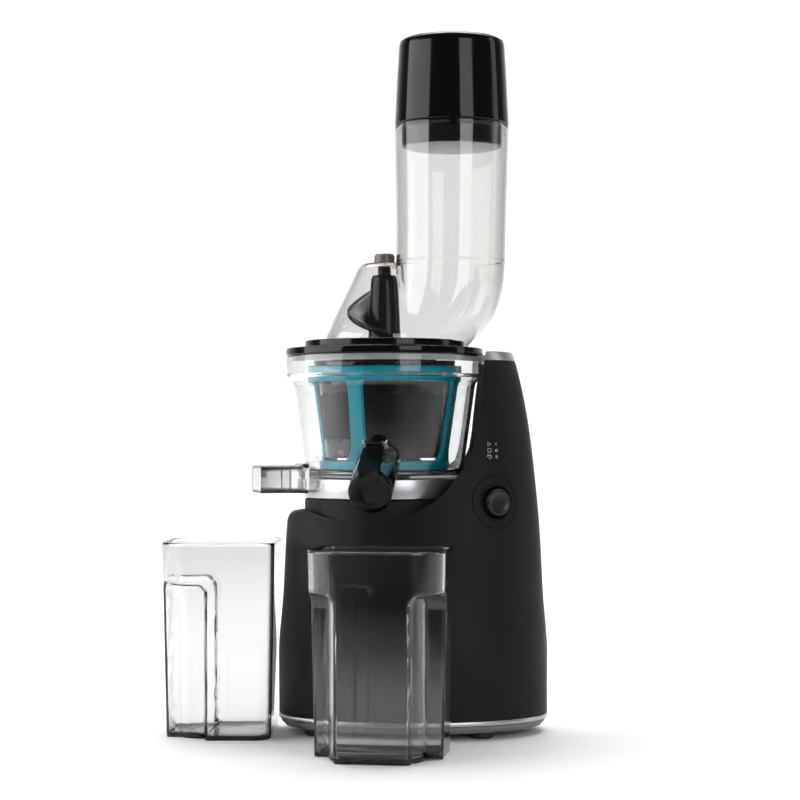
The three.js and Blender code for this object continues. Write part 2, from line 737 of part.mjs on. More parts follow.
function makePusherHandle() {
  const [low, high] = HANDLE_Z;
  const [wide, narrow] = HANDLE_R;
  const shell = turned([[0, low], [wide, low], [narrow, high - 3], [narrow - 3, high], [0, high]]);
  return cut(shell, turned([[0, low - 5], [PLUG_R + GAP, low - 5], [PLUG_R - 1.2, high - 6], [0, high - 6]]));
}

function makePusherPlug() {
  const [low, high] = [PLUG_BOTTOM + 3, 500];
  const body = turned([[0, low], [PLUG_R, low], [PLUG_R, 460], [36.4, high], [0, high]]);
  return cut(body, disc(33.5, low - 5, high - 4));
}

const makePusherEndPlate = () => turned([
  [0, PLUG_BOTTOM],
  [PLUG_R - 1, PLUG_BOTTOM],
  [PLUG_R, PLUG_BOTTOM + 1],
  [PLUG_R, PLUG_BOTTOM + 2.7],
  [0, PLUG_BOTTOM + 2.7],
]);

const makePusherKey = () => union(
  block([-5.5, 5.5], [-45.2, -43.3], [455.5, 458.5]),
  block([-2.5, 2.5], [-45.2, -43.3], [450, 457]),
);

// ---- jugs ----

// The hollow behind a front corner: it leaves the middle of the front standing proud.
function fluteSpace(grow, side) {
  const shape = new THREE.Shape();
  const [front, flank] = [-JUG_TOP[2] + FLUTE.front + grow, JUG_BOTTOM[1] - FLUTE.side - grow];
  const [bulge, back] = [FLUTE.bulge - grow, -JUG_TOP[2] + FLUTE.length + grow];
  shape.moveTo(bulge, -60);
  shape.lineTo(bulge + 1.5, front - 3);
  shape.quadraticCurveTo(bulge + 2, front, flank - 1, front + 3);
  shape.quadraticCurveTo(flank + 0.5, front + 5, flank, back - 8);
  shape.quadraticCurveTo(flank, back, flank + 6, back);
  shape.lineTo(70, back);
  shape.lineTo(70, -60);
  const space = extruded(shape, -5, FLUTE_TOP + grow, 4);
  return side > 0 ? space : space.mirror([1, 0, 0]);
}

// A jug's outline at a height, drawn in by inset: the corners at the front are wider than at the rear.
function jugOutline([, halfWidth, halfDepth], inset, z) {
  const [rear, front] = [JUG_REAR_CORNER - inset, JUG_FRONT_CORNER - inset];
  return roundedRectangle(halfWidth - inset, halfDepth - inset, rear, z, 6, front);
}

function makeJug({ x, y, turn }) {
  const inner = JUG_WALL;
  const outside = lofted([jugOutline(JUG_BOTTOM, 0, JUG_BOTTOM[0]), jugOutline(JUG_TOP, 0, JUG_TOP[0])]);
  const inside = lofted([
    jugOutline(JUG_BOTTOM, inner, JUG_BOTTOM[0] + 2.6),
    jugOutline(JUG_TOP, inner, JUG_TOP[0] + 3),
  ]);
  const shell = cut(
    cut(outside, fluteSpace(0, 1), fluteSpace(0, -1)),
    cut(inside, fluteSpace(inner, 1), fluteSpace(inner, -1)),
  );
  return shell.rotate([0, 0, THREE.MathUtils.radToDeg(turn)]).translate([x, y, 0]);
}

// ---- assembly: one group for each thing that moves by itself ----

function piece(name, shape, material) {
  const mesh = new THREE.Mesh(geometryOf(shape), material);
  mesh.name = name;
  return mesh;
}

function assembly(...pieces) {
  const group = new THREE.Group();
  group.add(...pieces);
  return group;
}

const base = assembly(
  piece("base_shell", makeBaseShell(), matteBlack),
  piece("tower_cap", makeTowerCap(), silver),
  piece("collar_ring", makeCollarRing(), silver),
  piece("base_trim_ring", makeTrimRing(), silver),
  piece("bottom_plate", makeBottomPlate(), grey),
  ...FEET.map(([name, x, y]) => piece(name, makeFoot(x, y), rubber)),
  ...SCREWS.map(([x, y], i) => piece(`base_screw_${i + 1}`, makeScrew(x, y), steel)),
  piece("button_bezel", atButton(makeButtonBezel()), matteBlack),
  piece("switch_module", atButton(makeSwitchModule()), dark),
  piece("cord_gland", makeCordGland(), rubber),
  piece("motor_can", makeMotorCan(), steel),
  piece("motor_end_plate", makeMotorEndPlate(), steel),
  piece("gearbox_tray", makeGearboxTray(), dark),
  piece("gearbox_cover", makeGearboxCover(), dark),
  piece("gear_pin", makeGearPin(), steel),
  piece("output_bush", makeOutputBush(), brass),
  piece("shaft_seal", makeShaftSeal(), silicone),
  piece("control_board", makeControlBoard(), board),
  piece("interlock_switch", makeInterlockSwitch(), dark),
);

const button = assembly(piece("button_cap", atButton(makeButtonCap()), glossBlack));
const rotor = assembly(
  piece("motor_rotor", makeMotorRotor(), steel),
  piece("motor_pinion", makeMotorPinion(), brass),
);
const reduction = assembly(piece("compound_gear", makeCompoundGear(), nylon));
const output = assembly(
  piece("output_gear", makeOutputGear(), nylon),
  piece("output_shaft", makeOutputShaft(), steel),
);

const bowl = assembly(
  piece("juice_bowl", makeJuiceBowl(), clear),
  piece("pulp_outlet", makePulpOutlet(), smoky),
  piece("cap_hinge_pin", makeCapHingePin(), steel),
  piece("bowl_seal", makeBowlSeal(), silicone),
  piece("idler_pin", makeIdlerPin(), steel),
  piece("strainer", makeStrainer(), dark),
  piece("strainer_screen", makeStrainerScreen(), steel),
);
const spoutCap = assembly(
  piece("spout_cap", makeSpoutCap(), glossBlack),
  piece("cap_seal", makeCapSeal(), silicone),
);
const brushFrame = assembly(
  piece("brush_frame", makeBrushFrame(), cyan),
  ...POSTS.map((degrees, i) => piece(`wiper_blade_${i + 1}`, makeWiperBlade(degrees), silicone)),
);
const idler = assembly(piece("idler_gear", makeIdlerGear(), nylon));
const auger = assembly(
  piece("auger", makeAuger(), glossBlack),
  piece("auger_gear", makeAugerGear(), nylon),
);

const lid = assembly(
  piece("lid_ring", makeLidRing(), glossBlack),
  piece("lid_dome", makeLidDome(), clear),
  piece("feed_tube", makeFeedTube(), clear),
  piece("lid_seal", makeLidSeal(), silicone),
  piece("bearing_cap", makeBearingCap(), brown),
);
const pusher = assembly(
  piece("pusher_handle", makePusherHandle(), glossBlack),
  piece("pusher_plug", makePusherPlug(), glossBlack),
  piece("pusher_end_plate", makePusherEndPlate(), glossBlack),
  piece("pusher_key", makePusherKey(), glossBlack),
);
pusher.position.x = CHUTE_X;

const jugs = assembly(
  piece("juice_jug", makeJug(JUICE_JUG), smoky),
  piece("pulp_jug", makeJug(PULP_JUG), smoky),
);

// The origin is the middle of the whole object, on the surface that it stands on.
const juicer = new THREE.Group();
juicer.add(base, button, rotor, reduction, output, bowl, spoutCap, brushFrame);
juicer.add(idler, auger, lid, pusher, jugs);
juicer.updateMatrixWorld(true);
const box = new THREE.Box3().setFromObject(juicer, true);
juicer.position.set(-(box.min.x + box.max.x) / 2, -(box.min.y + box.max.y) / 2, -box.min.z);

export default juicer;
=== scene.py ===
import json
import math

import bmesh
import bpy
from mathutils import Matrix, Vector


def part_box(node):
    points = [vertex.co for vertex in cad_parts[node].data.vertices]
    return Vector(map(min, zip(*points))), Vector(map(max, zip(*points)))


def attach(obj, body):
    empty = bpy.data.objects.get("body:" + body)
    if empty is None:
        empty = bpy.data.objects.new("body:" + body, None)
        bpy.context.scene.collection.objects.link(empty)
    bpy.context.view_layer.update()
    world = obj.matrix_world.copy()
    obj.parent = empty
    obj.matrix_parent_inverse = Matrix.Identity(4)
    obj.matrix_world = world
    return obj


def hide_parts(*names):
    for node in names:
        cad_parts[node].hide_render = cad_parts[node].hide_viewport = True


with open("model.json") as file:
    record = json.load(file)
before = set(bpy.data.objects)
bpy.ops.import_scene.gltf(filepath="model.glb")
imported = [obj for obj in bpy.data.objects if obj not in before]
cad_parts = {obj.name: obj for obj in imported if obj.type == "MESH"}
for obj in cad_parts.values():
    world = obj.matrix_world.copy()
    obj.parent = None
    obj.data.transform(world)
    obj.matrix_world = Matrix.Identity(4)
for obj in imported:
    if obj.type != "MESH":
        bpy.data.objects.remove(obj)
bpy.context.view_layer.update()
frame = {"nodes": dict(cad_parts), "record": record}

# ---- Studio ----
# The juicer stands on a plain pale floor that sweeps up behind it and is painted dark in front as painted
# shade, under a large soft light overhead, one on the backdrop and one on each side. The camera looks level
# at the bowl.
MM = 0.001
collar_low, collar_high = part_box("collar_ring")
AXIS = Vector(((collar_low.x + collar_high.x) / 2, (collar_low.y + collar_high.y) / 2, 0))


def at_axis(x, y, z):
    """A place given in millimetres from the bowl's axis, as a point of the frame."""
    return AXIS + Vector((x, y, z)) * MM


def at_angle(r, angle, z):
    """A place given by its distance and direction from the bowl's axis, and its height."""
    return at_axis(r * math.cos(angle), r * math.sin(angle), z)


camera_data = bpy.data.cameras.new("camera")
camera_data.sensor_width = 36
camera_data.lens = 92.25
camera_data.shift_y = 0.04375
camera = bpy.data.objects.new("camera", camera_data)
camera.location = at_axis(11.7, -1546, 222)
camera.rotation_euler = (math.radians(90), 0, 0)
bpy.context.scene.collection.objects.link(camera)
bpy.context.scene.camera = camera


class Wire:
    """An output socket in a material's node tree, to make further nodes from."""

    def __init__(self, tree, socket=None):
        self.tree = tree
        self.socket = socket

    def node(self, kind, settings=None, inputs=None, output=0):
        """A wire from a new node, whose inputs are given as values or as wires."""
        made = self.tree.nodes.new("ShaderNode" + kind)
        for key, value in (settings or {}).items():
            setattr(made, key, value)
        for key, value in (inputs or {}).items():
            if isinstance(value, Wire):
                self.tree.links.new(value.socket, made.inputs[key])
            else:
                made.inputs[key].default_value = value
        return Wire(self.tree, made.outputs[output])

    def mix(self, low, high):
        """A colour from low to high as this wire goes from 0 to 1."""
        return self.node("Mix", {"data_type": "RGBA"}, {0: self, 6: low, 7: high}, output=2)


def finish(name, base, roughness, **fixed):
    """A new material: its shader's fixed values, and a wire to build the varying ones from."""
    material = bpy.data.materials.new(name)
    material.use_nodes = True
    tree = material.node_tree
    shader = tree.nodes["Principled BSDF"]
    shader.inputs["Base Color"].default_value = (*base, 1)
    shader.inputs["Roughness"].default_value = roughness
    for key, value in fixed.items():
        shader.inputs[key.replace("_", " ")].default_value = value
    material.diffuse_color = (*base, 1)
    return material, shader, Wire(tree)


def feed(shader, wire, key):
    wire.tree.links.new(wire.socket, shader.inputs[key])


def place_wire(wire, scale=(1, 1, 1)):
    """The surface's place on its own piece, in metres, stretched by scale."""
    place = wire.node("TexCoord", output=3)
    return wire.node("Mapping", inputs={"Vector": place, "Scale": scale})


def noise_wire(wire, place, size, detail, roughness):
    """Noise whose lumps have a size in metres."""
    inputs = {"Vector": place, "Scale": 1 / size, "Detail": detail, "Roughness": roughness}
    return wire.node("TexNoise", inputs=inputs)


def remap(wire, start, end, low, high):
    """A wire's span from start to end, laid onto low to high."""
    inputs = {"Value": wire, "From Min": start, "From Max": end, "To Min": low, "To Max": high}
    return wire.node("MapRange", inputs=inputs)


def grain(wire, shader, size, depth, strength, stretch=(1, 1, 1)):
    """Fine moulded grain: noise bumps of the given size and depth in metres."""
    noise = noise_wire(wire, place_wire(wire, stretch), size, 3.0, 0.6)
    bump = wire.node("Bump", inputs={"Strength": strength, "Distance": depth, "Height": noise})
    feed(shader, bump, "Normal")


def smudges(wire, shader, low, high, size):
    """Roughness that drifts between low and high, as handling and cleaning leave it."""
    noise = noise_wire(wire, place_wire(wire), size, 4.0, 0.55)
    feed(shader, remap(noise, 0.3, 0.7, low, high), "Roughness")
    return noise


def moulded(name, base, roughness, grained, worn, tones=None, **fixed):
    """A finish with grain (size, depth, strength), smudges (low, high, size) and two tones that drift."""
    material, shader, wire = finish(name, base, roughness, **fixed)
    grain(wire, shader, *grained)
    drift = smudges(wire, shader, *worn)
    if tones:
        feed(shader, drift.mix(*tones), "Base Color")
    return material


# The floor's pale paint, and the near-black painted shade that it fades to in front of the machine.
FLOOR_PALE, FLOOR_PAINTED_SHADE = (0.9, 0.9, 0.9), (0.03, 0.03, 0.03)
DIM_TO_Y, PALE_FROM_Y = -0.95, -0.42
FLOOR_HALF_WIDTH = 4.0
SWEEP_FROM_Y, SWEEP_R = 2.2, 0.9
floor_paint, shader, wire = finish("floor_paint", FLOOR_PALE, 0.6)
smudges(wire, shader, 0.55, 0.7, 0.3)
# The floor's colour fades from pale near the machine to near black in front: painted shade for the floor in
# front lying out of the light.
floor_y = wire.node("SeparateXYZ", inputs={"Vector": wire.node("TexCoord", output=3)}, output=1)
painted_lit_share = remap(floor_y, DIM_TO_Y, PALE_FROM_Y, 0.0, 1.0)
feed(shader, painted_lit_share.mix((*FLOOR_PAINTED_SHADE, 1), (*FLOOR_PALE, 1)), "Base Color")
floor_mesh = bpy.data.meshes.new("floor")
sweep = [(-3.0, 0.0)]
for degrees in range(0, 91, 9):
    a = math.radians(degrees)
    sweep.append((SWEEP_FROM_Y + SWEEP_R * math.sin(a), SWEEP_R - SWEEP_R * math.cos(a)))
sweep.append((SWEEP_FROM_Y + SWEEP_R, 4.0))
floor_points = [(x, y, z) for y, z in sweep for x in (-FLOOR_HALF_WIDTH, FLOOR_HALF_WIDTH)]
floor_faces = [(2 * i, 2 * i + 1, 2 * i + 3, 2 * i + 2) for i in range(len(sweep) - 1)]
floor_mesh.from_pydata(floor_points, [], floor_faces)
for polygon in floor_mesh.polygons:
    polygon.use_smooth = True
floor_mesh.materials.append(floor_paint)
floor = bpy.data.objects.new("floor", floor_mesh)
bpy.context.scene.collection.objects.link(floor)

world = bpy.data.worlds.new("studio")
world.use_nodes = True
world.node_tree.nodes["Background"].inputs["Color"].default_value = (1, 1, 1, 1)
world.node_tree.nodes["Background"].inputs["Strength"].default_value = 0.12
bpy.context.scene.world = world
bpy.context.scene.view_settings.view_transform = "Standard"


def soft_light(name, place, aim, width, height, watts):
    """A flat soft light, in metres from the machine's foot."""
    data = bpy.data.lights.new(name, "AREA")
    data.shape = "RECTANGLE"
    data.size = width
    data.size_y = height
    data.energy = watts
    light = bpy.data.objects.new(name, data)
    light.location = place
    light.rotation_euler = (Vector(aim) - Vector(place)).to_track_quat("-Z", "Y").to_euler()
    bpy.context.scene.collection.objects.link(light)


soft_light("overhead", (0.0, 0.6, 2.0), (0, 0.4, 0.0), 2.4, 1.4, 42)
soft_light("backdrop_wash", (0.0, 1.2, 2.6), (0, 3.0, 0.9), 4.0, 0.8, 62)
soft_light("front_panel", (1.0, -1.65, 0.8), (0, 0, 0.35), 0.9, 1.1, 11)
soft_light("left_panel", (-1.56, -0.33, 0.7), (0, 0, 0.25), 1.8, 1.2, 26)
soft_light("right_panel", (1.7, 0.3, 0.6), (0, 0, 0.25), 0.4, 1.4, 2.5)


# ---- Base shell ----
# One matte black ABS moulding: an elliptical body with a tower at the right, and a dish that hugs the
# bowl. The bowl stands on the round neck in the middle of the dish. A faint facet runs across the right.
BASE_X = 21.6
# The body's outline at each height: half its width and half its depth.
BASE_SECTIONS = [
    (14.3, 100.9, 66.8), (58, 101.1, 66.8), (104, 97.8, 64.6), (150, 95.4, 62.8),
    (190, 91.8, 61), (235, 86.1, 60), (277, 77, 58), (284, 74.6, 57.6),
]
DISH = [
    (60, 159), (65.6, 165.6), (69.7, 172), (73.6, 179), (77.6, 190.6), (81.5, 201.4), (84.5, 218), (85, 245),
]
NECK_R = 60
DECK_Z = 174.6
SHELL_LOW, SHELL_TOP = 14.4, 277
CREST_ZONE = 12
CREST_LOW = 156.2
SHOULDER_TOP = 165.6
SHOULDER = 9


def curve_through(points, value):
    """A smooth curve through (at, level) points, read at value: monotone between its points."""
    points = sorted(points)
    if value <= points[0][0]:
        return points[0][1]
    if value >= points[-1][0]:
        return points[-1][1]
    slopes = [(b[1] - a[1]) / (b[0] - a[0]) for a, b in zip(points, points[1:])]
    k = max(i for i, p in enumerate(points[:-1]) if p[0] <= value)

    def tangent(i):
        if i == 0 or i == len(points) - 1:
            return slopes[min(i, len(slopes) - 1)]
        before, after = slopes[i - 1], slopes[i]
        return 0 if before * after <= 0 else 2 * before * after / (before + after)

    (x0, y0), (x1, y1) = points[k], points[k + 1]
    width = x1 - x0
    t = (value - x0) / width
    start, end = tangent(k) * width, tangent(k + 1) * width
    return (
        (2 * t**3 - 3 * t**2 + 1) * y0 + (t**3 - 2 * t**2 + t) * start
        + (3 * t**2 - 2 * t**3) * y1 + (t**3 - t**2) * end
    )


def smooth_step(value, low, high):
    t = min(1, max(0, (value - low) / (high - low)))
    return t * t * (3 - 2 * t)


def base_reach(angle, z):
    """Distance from the bowl's axis to the outside of the base, in a direction and at a height."""
    a = curve_through([(h, half) for h, half, _ in BASE_SECTIONS], z)
    b = curve_through([(h, half) for h, _, half in BASE_SECTIONS], z)
    c, s = math.cos(angle), math.sin(angle)
    p = c * c / a**2 + s * s / b**2
    q = -2 * BASE_X * c / a**2
    r = BASE_X**2 / a**2 - 1
    reach = (-q + math.sqrt(q * q - 4 * p * r)) / (2 * p)
    # The facet: below a slanting line on the right the wall is drawn in by under a millimetre.
    x = reach * c
    below = (118 - (x - 52) * 0.59) - z
    if s < 0 and x > 30:
        reach -= 0.9 * smooth_step(below, 0, 5) * smooth_step(x, 34, 60) * (1 - smooth_step(below, 8, 60))
    return reach


def dish_radius(z):
    return curve_through([(h, r) for r, h in DISH], z)


def crest(angle):
    """The height at which the dish meets the outside of the base."""
    low, high = CREST_LOW, SHELL_TOP
    if base_reach(angle, high) > dish_radius(high) + 0.6:
        return high
    if math.cos(angle) < -0.2:
        high = SHOULDER_TOP + (SHELL_TOP - SHOULDER_TOP) * smooth_step(math.cos(angle), -0.75, -0.2)
    for _ in range(30):
        middle = (low + high) / 2
        if base_reach(angle, middle) > dish_radius(middle):
            low = middle
        else:
            high = middle
    return low


def loose(name, points, faces, smooth=True, sharp=40):
    """A mesh in the scene, on no body yet: the start of a piece, or a tool that cuts or joins one."""
    mesh = bpy.data.meshes.new(name)
    mesh.from_pydata([tuple(p) for p in points], [], faces)
    made = bpy.data.objects.new(name, mesh)
    bpy.context.scene.collection.objects.link(made)
    settle(made, smooth, sharp)
    return made


def new_piece(name, points, faces, material, body, slot, nodes=(), smooth=True, sharp=40):
    """A mesh piece that rides on a CAD body, wears the given material and stands for CAD nodes; slot is not
    used.
    """
    piece = loose(name, points, faces, smooth, sharp)
    piece.data.materials.append(material)
    return fit(piece, body, nodes)


def fit(piece, body, nodes=()):
    """Puts a finished piece on its CAD body, in place of CAD nodes."""
    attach(piece, body)
    if nodes:
        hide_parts(*nodes)
    return piece


def settle(piece, smooth=True, sharp=40):
    """Turns the faces outwards, shades them smooth and keeps edges over the sharp angle crisp."""
    work = bmesh.new()
    work.from_mesh(piece.data)
    bmesh.ops.remove_doubles(work, verts=work.verts, dist=1e-7)
    bmesh.ops.recalc_face_normals(work, faces=work.faces)
    for face in work.faces:
        face.smooth = smooth
    for edge in work.edges:
        edge.smooth = len(edge.link_faces) != 2 or edge.calc_face_angle(0) < math.radians(sharp)
    work.to_mesh(piece.data)
    work.free()


def ring_faces(rings, count, closed=False):
    """Quads between rings of count points each; closed joins the last ring to the first."""
    faces = []
    for k in range(rings if closed else rings - 1):
        here, after = k * count, (k + 1) % rings * count
        for i in range(count):
            j = (i + 1) % count
            faces.append((here + i, here + j, after + j, after + i))
    return faces


def rounded(path, radii, steps=4):
    """A path whose corners are replaced by arcs of the given radii (0 keeps a corner)."""
    result = []
    for i, point in enumerate(path):
        corner = Vector(point)
        radius = radii[i] if isinstance(radii, (list, tuple)) else radii
        before, after = Vector(path[i - 1]), Vector(path[(i + 1) % len(path)])
        one, two = before - corner, after - corner
        if radius <= 0 or one.length < 1e-9 or two.length < 1e-9:
            result.append(tuple(corner))
            continue
        half = one.angle(two) / 2
        cut = min(radius / math.tan(half), one.length * 0.49, two.length * 0.49)
        start, end = corner + one.normalized() * cut, corner + two.normalized() * cut
        for k in range(steps + 1):
            t = k / steps
            result.append(tuple((1 - t) ** 2 * start + 2 * t * (1 - t) * corner + t * t * end))
    return result


def turned(name, profile, material, body, slot, nodes=(), centre=(0, 0), segments=128, **options):
    """A closed profile of (radius, height) in millimetres, turned about an upright axis."""
    points = []
    for r, z in profile:
        for i in range(segments):
            angle = 2 * math.pi * i / segments
            x, y = centre[0] + r * math.cos(angle), centre[1] + r * math.sin(angle)
            points.append(at_axis(x, y, z))
    faces = ring_faces(len(profile), segments, closed=True)
    return new_piece(name, points, faces, material, body, slot, nodes, **options)


def combine(piece, other, operation="DIFFERENCE"):
    """Cuts piece by other, or joins them, and removes other."""
    modifier = piece.modifiers.new("combine", "BOOLEAN")
    modifier.object = other
    modifier.operation = operation
    modifier.solver = "EXACT"
    bpy.context.view_layer.update()
    made = bpy.data.meshes.new_from_object(piece.evaluated_get(bpy.context.evaluated_depsgraph_get()))
    piece.modifiers.clear()
    piece.data = made
    old = other.data
    bpy.data.objects.remove(other)
    if old.users == 0:
        bpy.data.meshes.remove(old)
    settle(piece)
    return piece


def round_tool(name, matrix, profile, segments=64):
    """A tool turned from a closed (radius, height) profile, in millimetres of matrix's frame."""
    points = []
    for r, z in profile:
        for i in range(segments):
            angle = 2 * math.pi * i / segments
            points.append(matrix @ Vector((r * math.cos(angle) * MM, r * math.sin(angle) * MM, z * MM)))
    return loose(name, points, ring_faces(len(profile), segments, closed=True))


def plug_profile(radius, low, high):
    """The closed profile of a solid disc, kept off the axis by a hair."""
    return [(0.001, low), (radius, low), (radius, high), (0.001, high)]


matte_black = moulded(
    "matte_black_abs", (0.0055, 0.0053, 0.0053), 0.52, (0.00035, 0.00012, 0.22), (0.46, 0.58, 0.05),
    ((0.005, 0.0048, 0.0048, 1), (0.0065, 0.0063, 0.0063, 1)), Specular_IOR_Level=0.2,
)


def base_profile(angle):
    """One upright section of the shell, from its lower edge over the crest to the deck in the middle."""
    top = crest(angle)
    level = top >= SHELL_TOP - 0.01
    inner_top = max(dish_radius(top), NECK_R) + (0 if level else 0.2)
    spare = 0 if level else max(0, base_reach(angle, top) - inner_top - 0.9)

    def outside(z):
        rise = min(1, max(0, (z - top + SHOULDER) / SHOULDER))
        return max(base_reach(angle, z) - spare * (1 - math.sqrt(1 - rise * rise)), inner_top + 0.3)

    bend = top - CREST_ZONE
    heights = [SHELL_LOW + (bend - SHELL_LOW) * k / 40 for k in range(41)]
    heights += [bend + (CREST_ZONE - 1.2) * k / 12 for k in range(1, 13)]
    profile = [(base_reach(angle, SHELL_LOW) - 3, SHELL_LOW)]
    profile += [(outside(z), z) for z in heights]
    profile.append((outside(top - 0.35) - 0.2, top - 0.35))
    profile.append((max(outside(top) - 0.6, inner_top + 0.1), top))
    profile.append((inner_top, top - (0.1 if level else 0.35)))
    for k in range(1, 27):
        z = top - 1.2 - (top - 1.2 - DISH[0][1]) * k / 26
        profile.append((max(dish_radius(z), NECK_R), max(z, DISH[0][1])))
    profile += [(NECK_R, 160.5), (NECK_R, DECK_Z - 1), (NECK_R - 1, DECK_Z)]
    return profile + [(16, DECK_Z), (16, DECK_Z - 4)]


SHELL_SEGMENTS = 288
sections = [base_profile(2 * math.pi * i / SHELL_SEGMENTS) for i in range(SHELL_SEGMENTS)]
shell_points = []
for k in range(len(sections[0])):
    for i, section in enumerate(sections):
        angle = 2 * math.pi * i / SHELL_SEGMENTS
        r, z = section[k]
        shell_points.append(at_angle(r, angle, z))
base_shell = new_piece(
    "base_moulding", shell_points, ring_faces(len(sections[0]), SHELL_SEGMENTS, closed=True),
    matte_black, "base", "matte_black", ["base_shell"], sharp=60,
)

# ---- Push button ----
# A round gloss-black cap in a recessed ring, set square to the wall on the front right, inside a thin
# ring groove. It is pushed against a switch that stands behind it.
BUTTON = (82.4, -46.7, 172.8)
BUTTON_TURN = math.radians(29.6)
BUTTON_R = 10.6
BEZEL_R = 13.2
button_frame = Matrix.Translation(at_axis(*BUTTON)) @ Matrix.Rotation(BUTTON_TURN, 4, "Z")
button_frame = button_frame @ Matrix.Rotation(math.radians(90), 4, "X")
combine(base_shell, round_tool("hole", button_frame, plug_profile(BEZEL_R + 0.2, -9, 6), 96))


def wall_point(across, up, off):
    """A point on the outside wall near the button, by its distances across and up, moved off the wall."""
    spot = button_frame @ Vector((across * MM, up * MM, 0)) - AXIS
    angle = math.atan2(spot.y, spot.x)
    reach = base_reach(angle, spot.z / MM) + off
    return at_angle(reach, angle, spot.z / MM)


GROOVE_R = 19.3
groove_points = []
for side, off in ((-0.3, -0.7), (0.3, -0.7), (0.3, 0.8), (-0.3, 0.8)):
    for i in range(120):
        a = 2 * math.pi * i / 120
        x, y = (GROOVE_R + side) * math.cos(a), (GROOVE_R + side) * math.sin(a)
        groove_points.append(wall_point(x, y, off))
combine(base_shell, loose("groove", groove_points, ring_faces(4, 120, closed=True)))

gloss_black = moulded(
    "gloss_black_abs", (0.002, 0.002, 0.002), 0.08, (0.004, 0.00002, 0.12), (0.05, 0.14, 0.02),
    Specular_IOR_Level=0.25,
)


def button_part(name, profile, material, body, nodes):
    """A round piece set square to the wall on the button's axis."""
    part = round_tool(name, button_frame, profile, 96)
    part.data.materials.append(material)
    settle(part, sharp=50)
    fit(part, body, nodes)


bezel = [(BEZEL_R, -9), (BEZEL_R, 0.5), (12.6, 0.8), (BUTTON_R - 0.2, -2.2), (BUTTON_R - 0.3, -9)]
bezel_profile = rounded(bezel, [0, 0.5, 0.5, 0.6, 0])
button_part("button_recess", bezel_profile, matte_black, "base", ["button_bezel"])
cap_profile = [(0.001, 2.9), (3.5, 3.0), (7, 3.4), (7.9, 3.8), (8.6, 4.0), (9.3, 3.7), (BUTTON_R - 0.8, 3.0),
               (BUTTON_R - 0.8, -5.5), (8.4, -5.5), (8.4, 1.5), (0.001, 1.5)]
cap_black = moulded(
    "button_black_abs", (0.012, 0.012, 0.012), 0.3, (0.0006, 0.00004, 0.2), (0.24, 0.36, 0.01),
    Specular_IOR_Level=0.4,
)
button_part("button_cap_round", cap_profile, cap_black, "button", ["button_cap"])

# ---- Button marks ----
# Pale pad-printed marks above the button, one for each way it can be pressed: run, stop and reverse,
# each with a plain letter beside it. They lie in a film a few hundredths of a millimetre off the wall.
mark_white, shader, wire = finish("mark_white_ink", (0.62, 0.62, 0.62), 0.5)
smudges(wire, shader, 0.45, 0.6, 0.002)
MARK_ROWS = (42.5, 37.9, 33.3)
MARK_LINE = 0.35


def mark_line(name, corners, closed=True):
    """A thin printed line along corners, given across and up from the button in millimetres."""
    points, faces = [], []
    count = len(corners)
    for i, (x, y) in enumerate(corners):
        before = Vector(corners[i - 1]) if closed or i else Vector(corners[i])
        after = Vector(corners[(i + 1) % count]) if closed or i < count - 1 else Vector(corners[i])
        along = (after - before).normalized()
        side = Vector((-along.y, along.x)) * MARK_LINE / 2
        for sign in (-1, 1):
            for off in (0.02, 0.08):
                points.append(wall_point(x + sign * side.x, y + sign * side.y, off))
    for i in range(count if closed else count - 1):
        a, b = 4 * i, 4 * ((i + 1) % count)
        faces += [(a, b, b + 1, a + 1), (a + 1, b + 1, b + 3, a + 3)]
        faces += [(a + 3, b + 3, b + 2, a + 2), (a + 2, b + 2, b, a)]
    if not closed:
        last = 4 * (count - 1)
        faces += [(0, 1, 3, 2), (last, last + 2, last + 3, last + 1)]
    return new_piece(name, points, faces, mark_white, "base", "silver_plastic", smooth=False)


def arc(x, y, radius, start, end, steps=14):
    angles = [math.radians(start + (end - start) * i / steps) for i in range(steps + 1)]
    return [(x + radius * math.cos(a), y + radius * math.sin(a)) for a in angles]


def shifted(x, y, corners):
    return [(x + dx, y + dy) for dx, dy in corners]


mark_x, letter_x = -4.0, 2.2
run_y, stop_y, reverse_y = MARK_ROWS
mark_line("mark_run", shifted(mark_x, run_y, [(-1.1, -1.4), (1.5, 0), (-1.1, 1.4)]))
mark_line("mark_stop", shifted(mark_x, stop_y, [(-1.3, -1.3), (1.3, -1.3), (1.3, 1.3), (-1.3, 1.3)]))
mark_line("mark_reverse", arc(mark_x, reverse_y, 1.4, 150, -130), closed=False)
mark_line("mark_reverse_tip", shifted(mark_x, reverse_y, [(-2.2, 0.2), (-0.5, 0.2), (-1.4, 1.7)]))
mark_line("letter_run", shifted(letter_x, run_y, [(0, -1), (0, 1)]), closed=False)
mark_line("letter_stop", arc(letter_x, stop_y, 0.95, 0, 340, 16))
letter = [(-0.7, -1), (-0.7, 1), (0.5, 0.9), (0.6, 0.1), (-0.4, 0), (0.8, -1)]
mark_line("letter_reverse", shifted(letter_x, reverse_y, letter), closed=False)

# ---- Silver trim ----
# Satin-silver mouldings with a fine brushed grain: the cap on the tower, the band that the bowl stands
# in, and the thin trim ring round the foot of the base.
silver, shader, wire = finish("brushed_silver", (0.5, 0.51, 0.53), 0.3, Metallic=0.9)
streaks = noise_wire(wire, place_wire(wire, (1, 1, 30)), 1 / 120, 2.0, 0.5)
feed(shader, remap(streaks, 0.3, 0.7, 0.27, 0.34), "Roughness")
feed(shader, wire.node("Bump", inputs={"Strength": 0.08, "Distance": 0.00001, "Height": streaks}), "Normal")
feed(shader, streaks.mix((0.48, 0.49, 0.51, 1), (0.53, 0.54, 0.56, 1)), "Base Color")


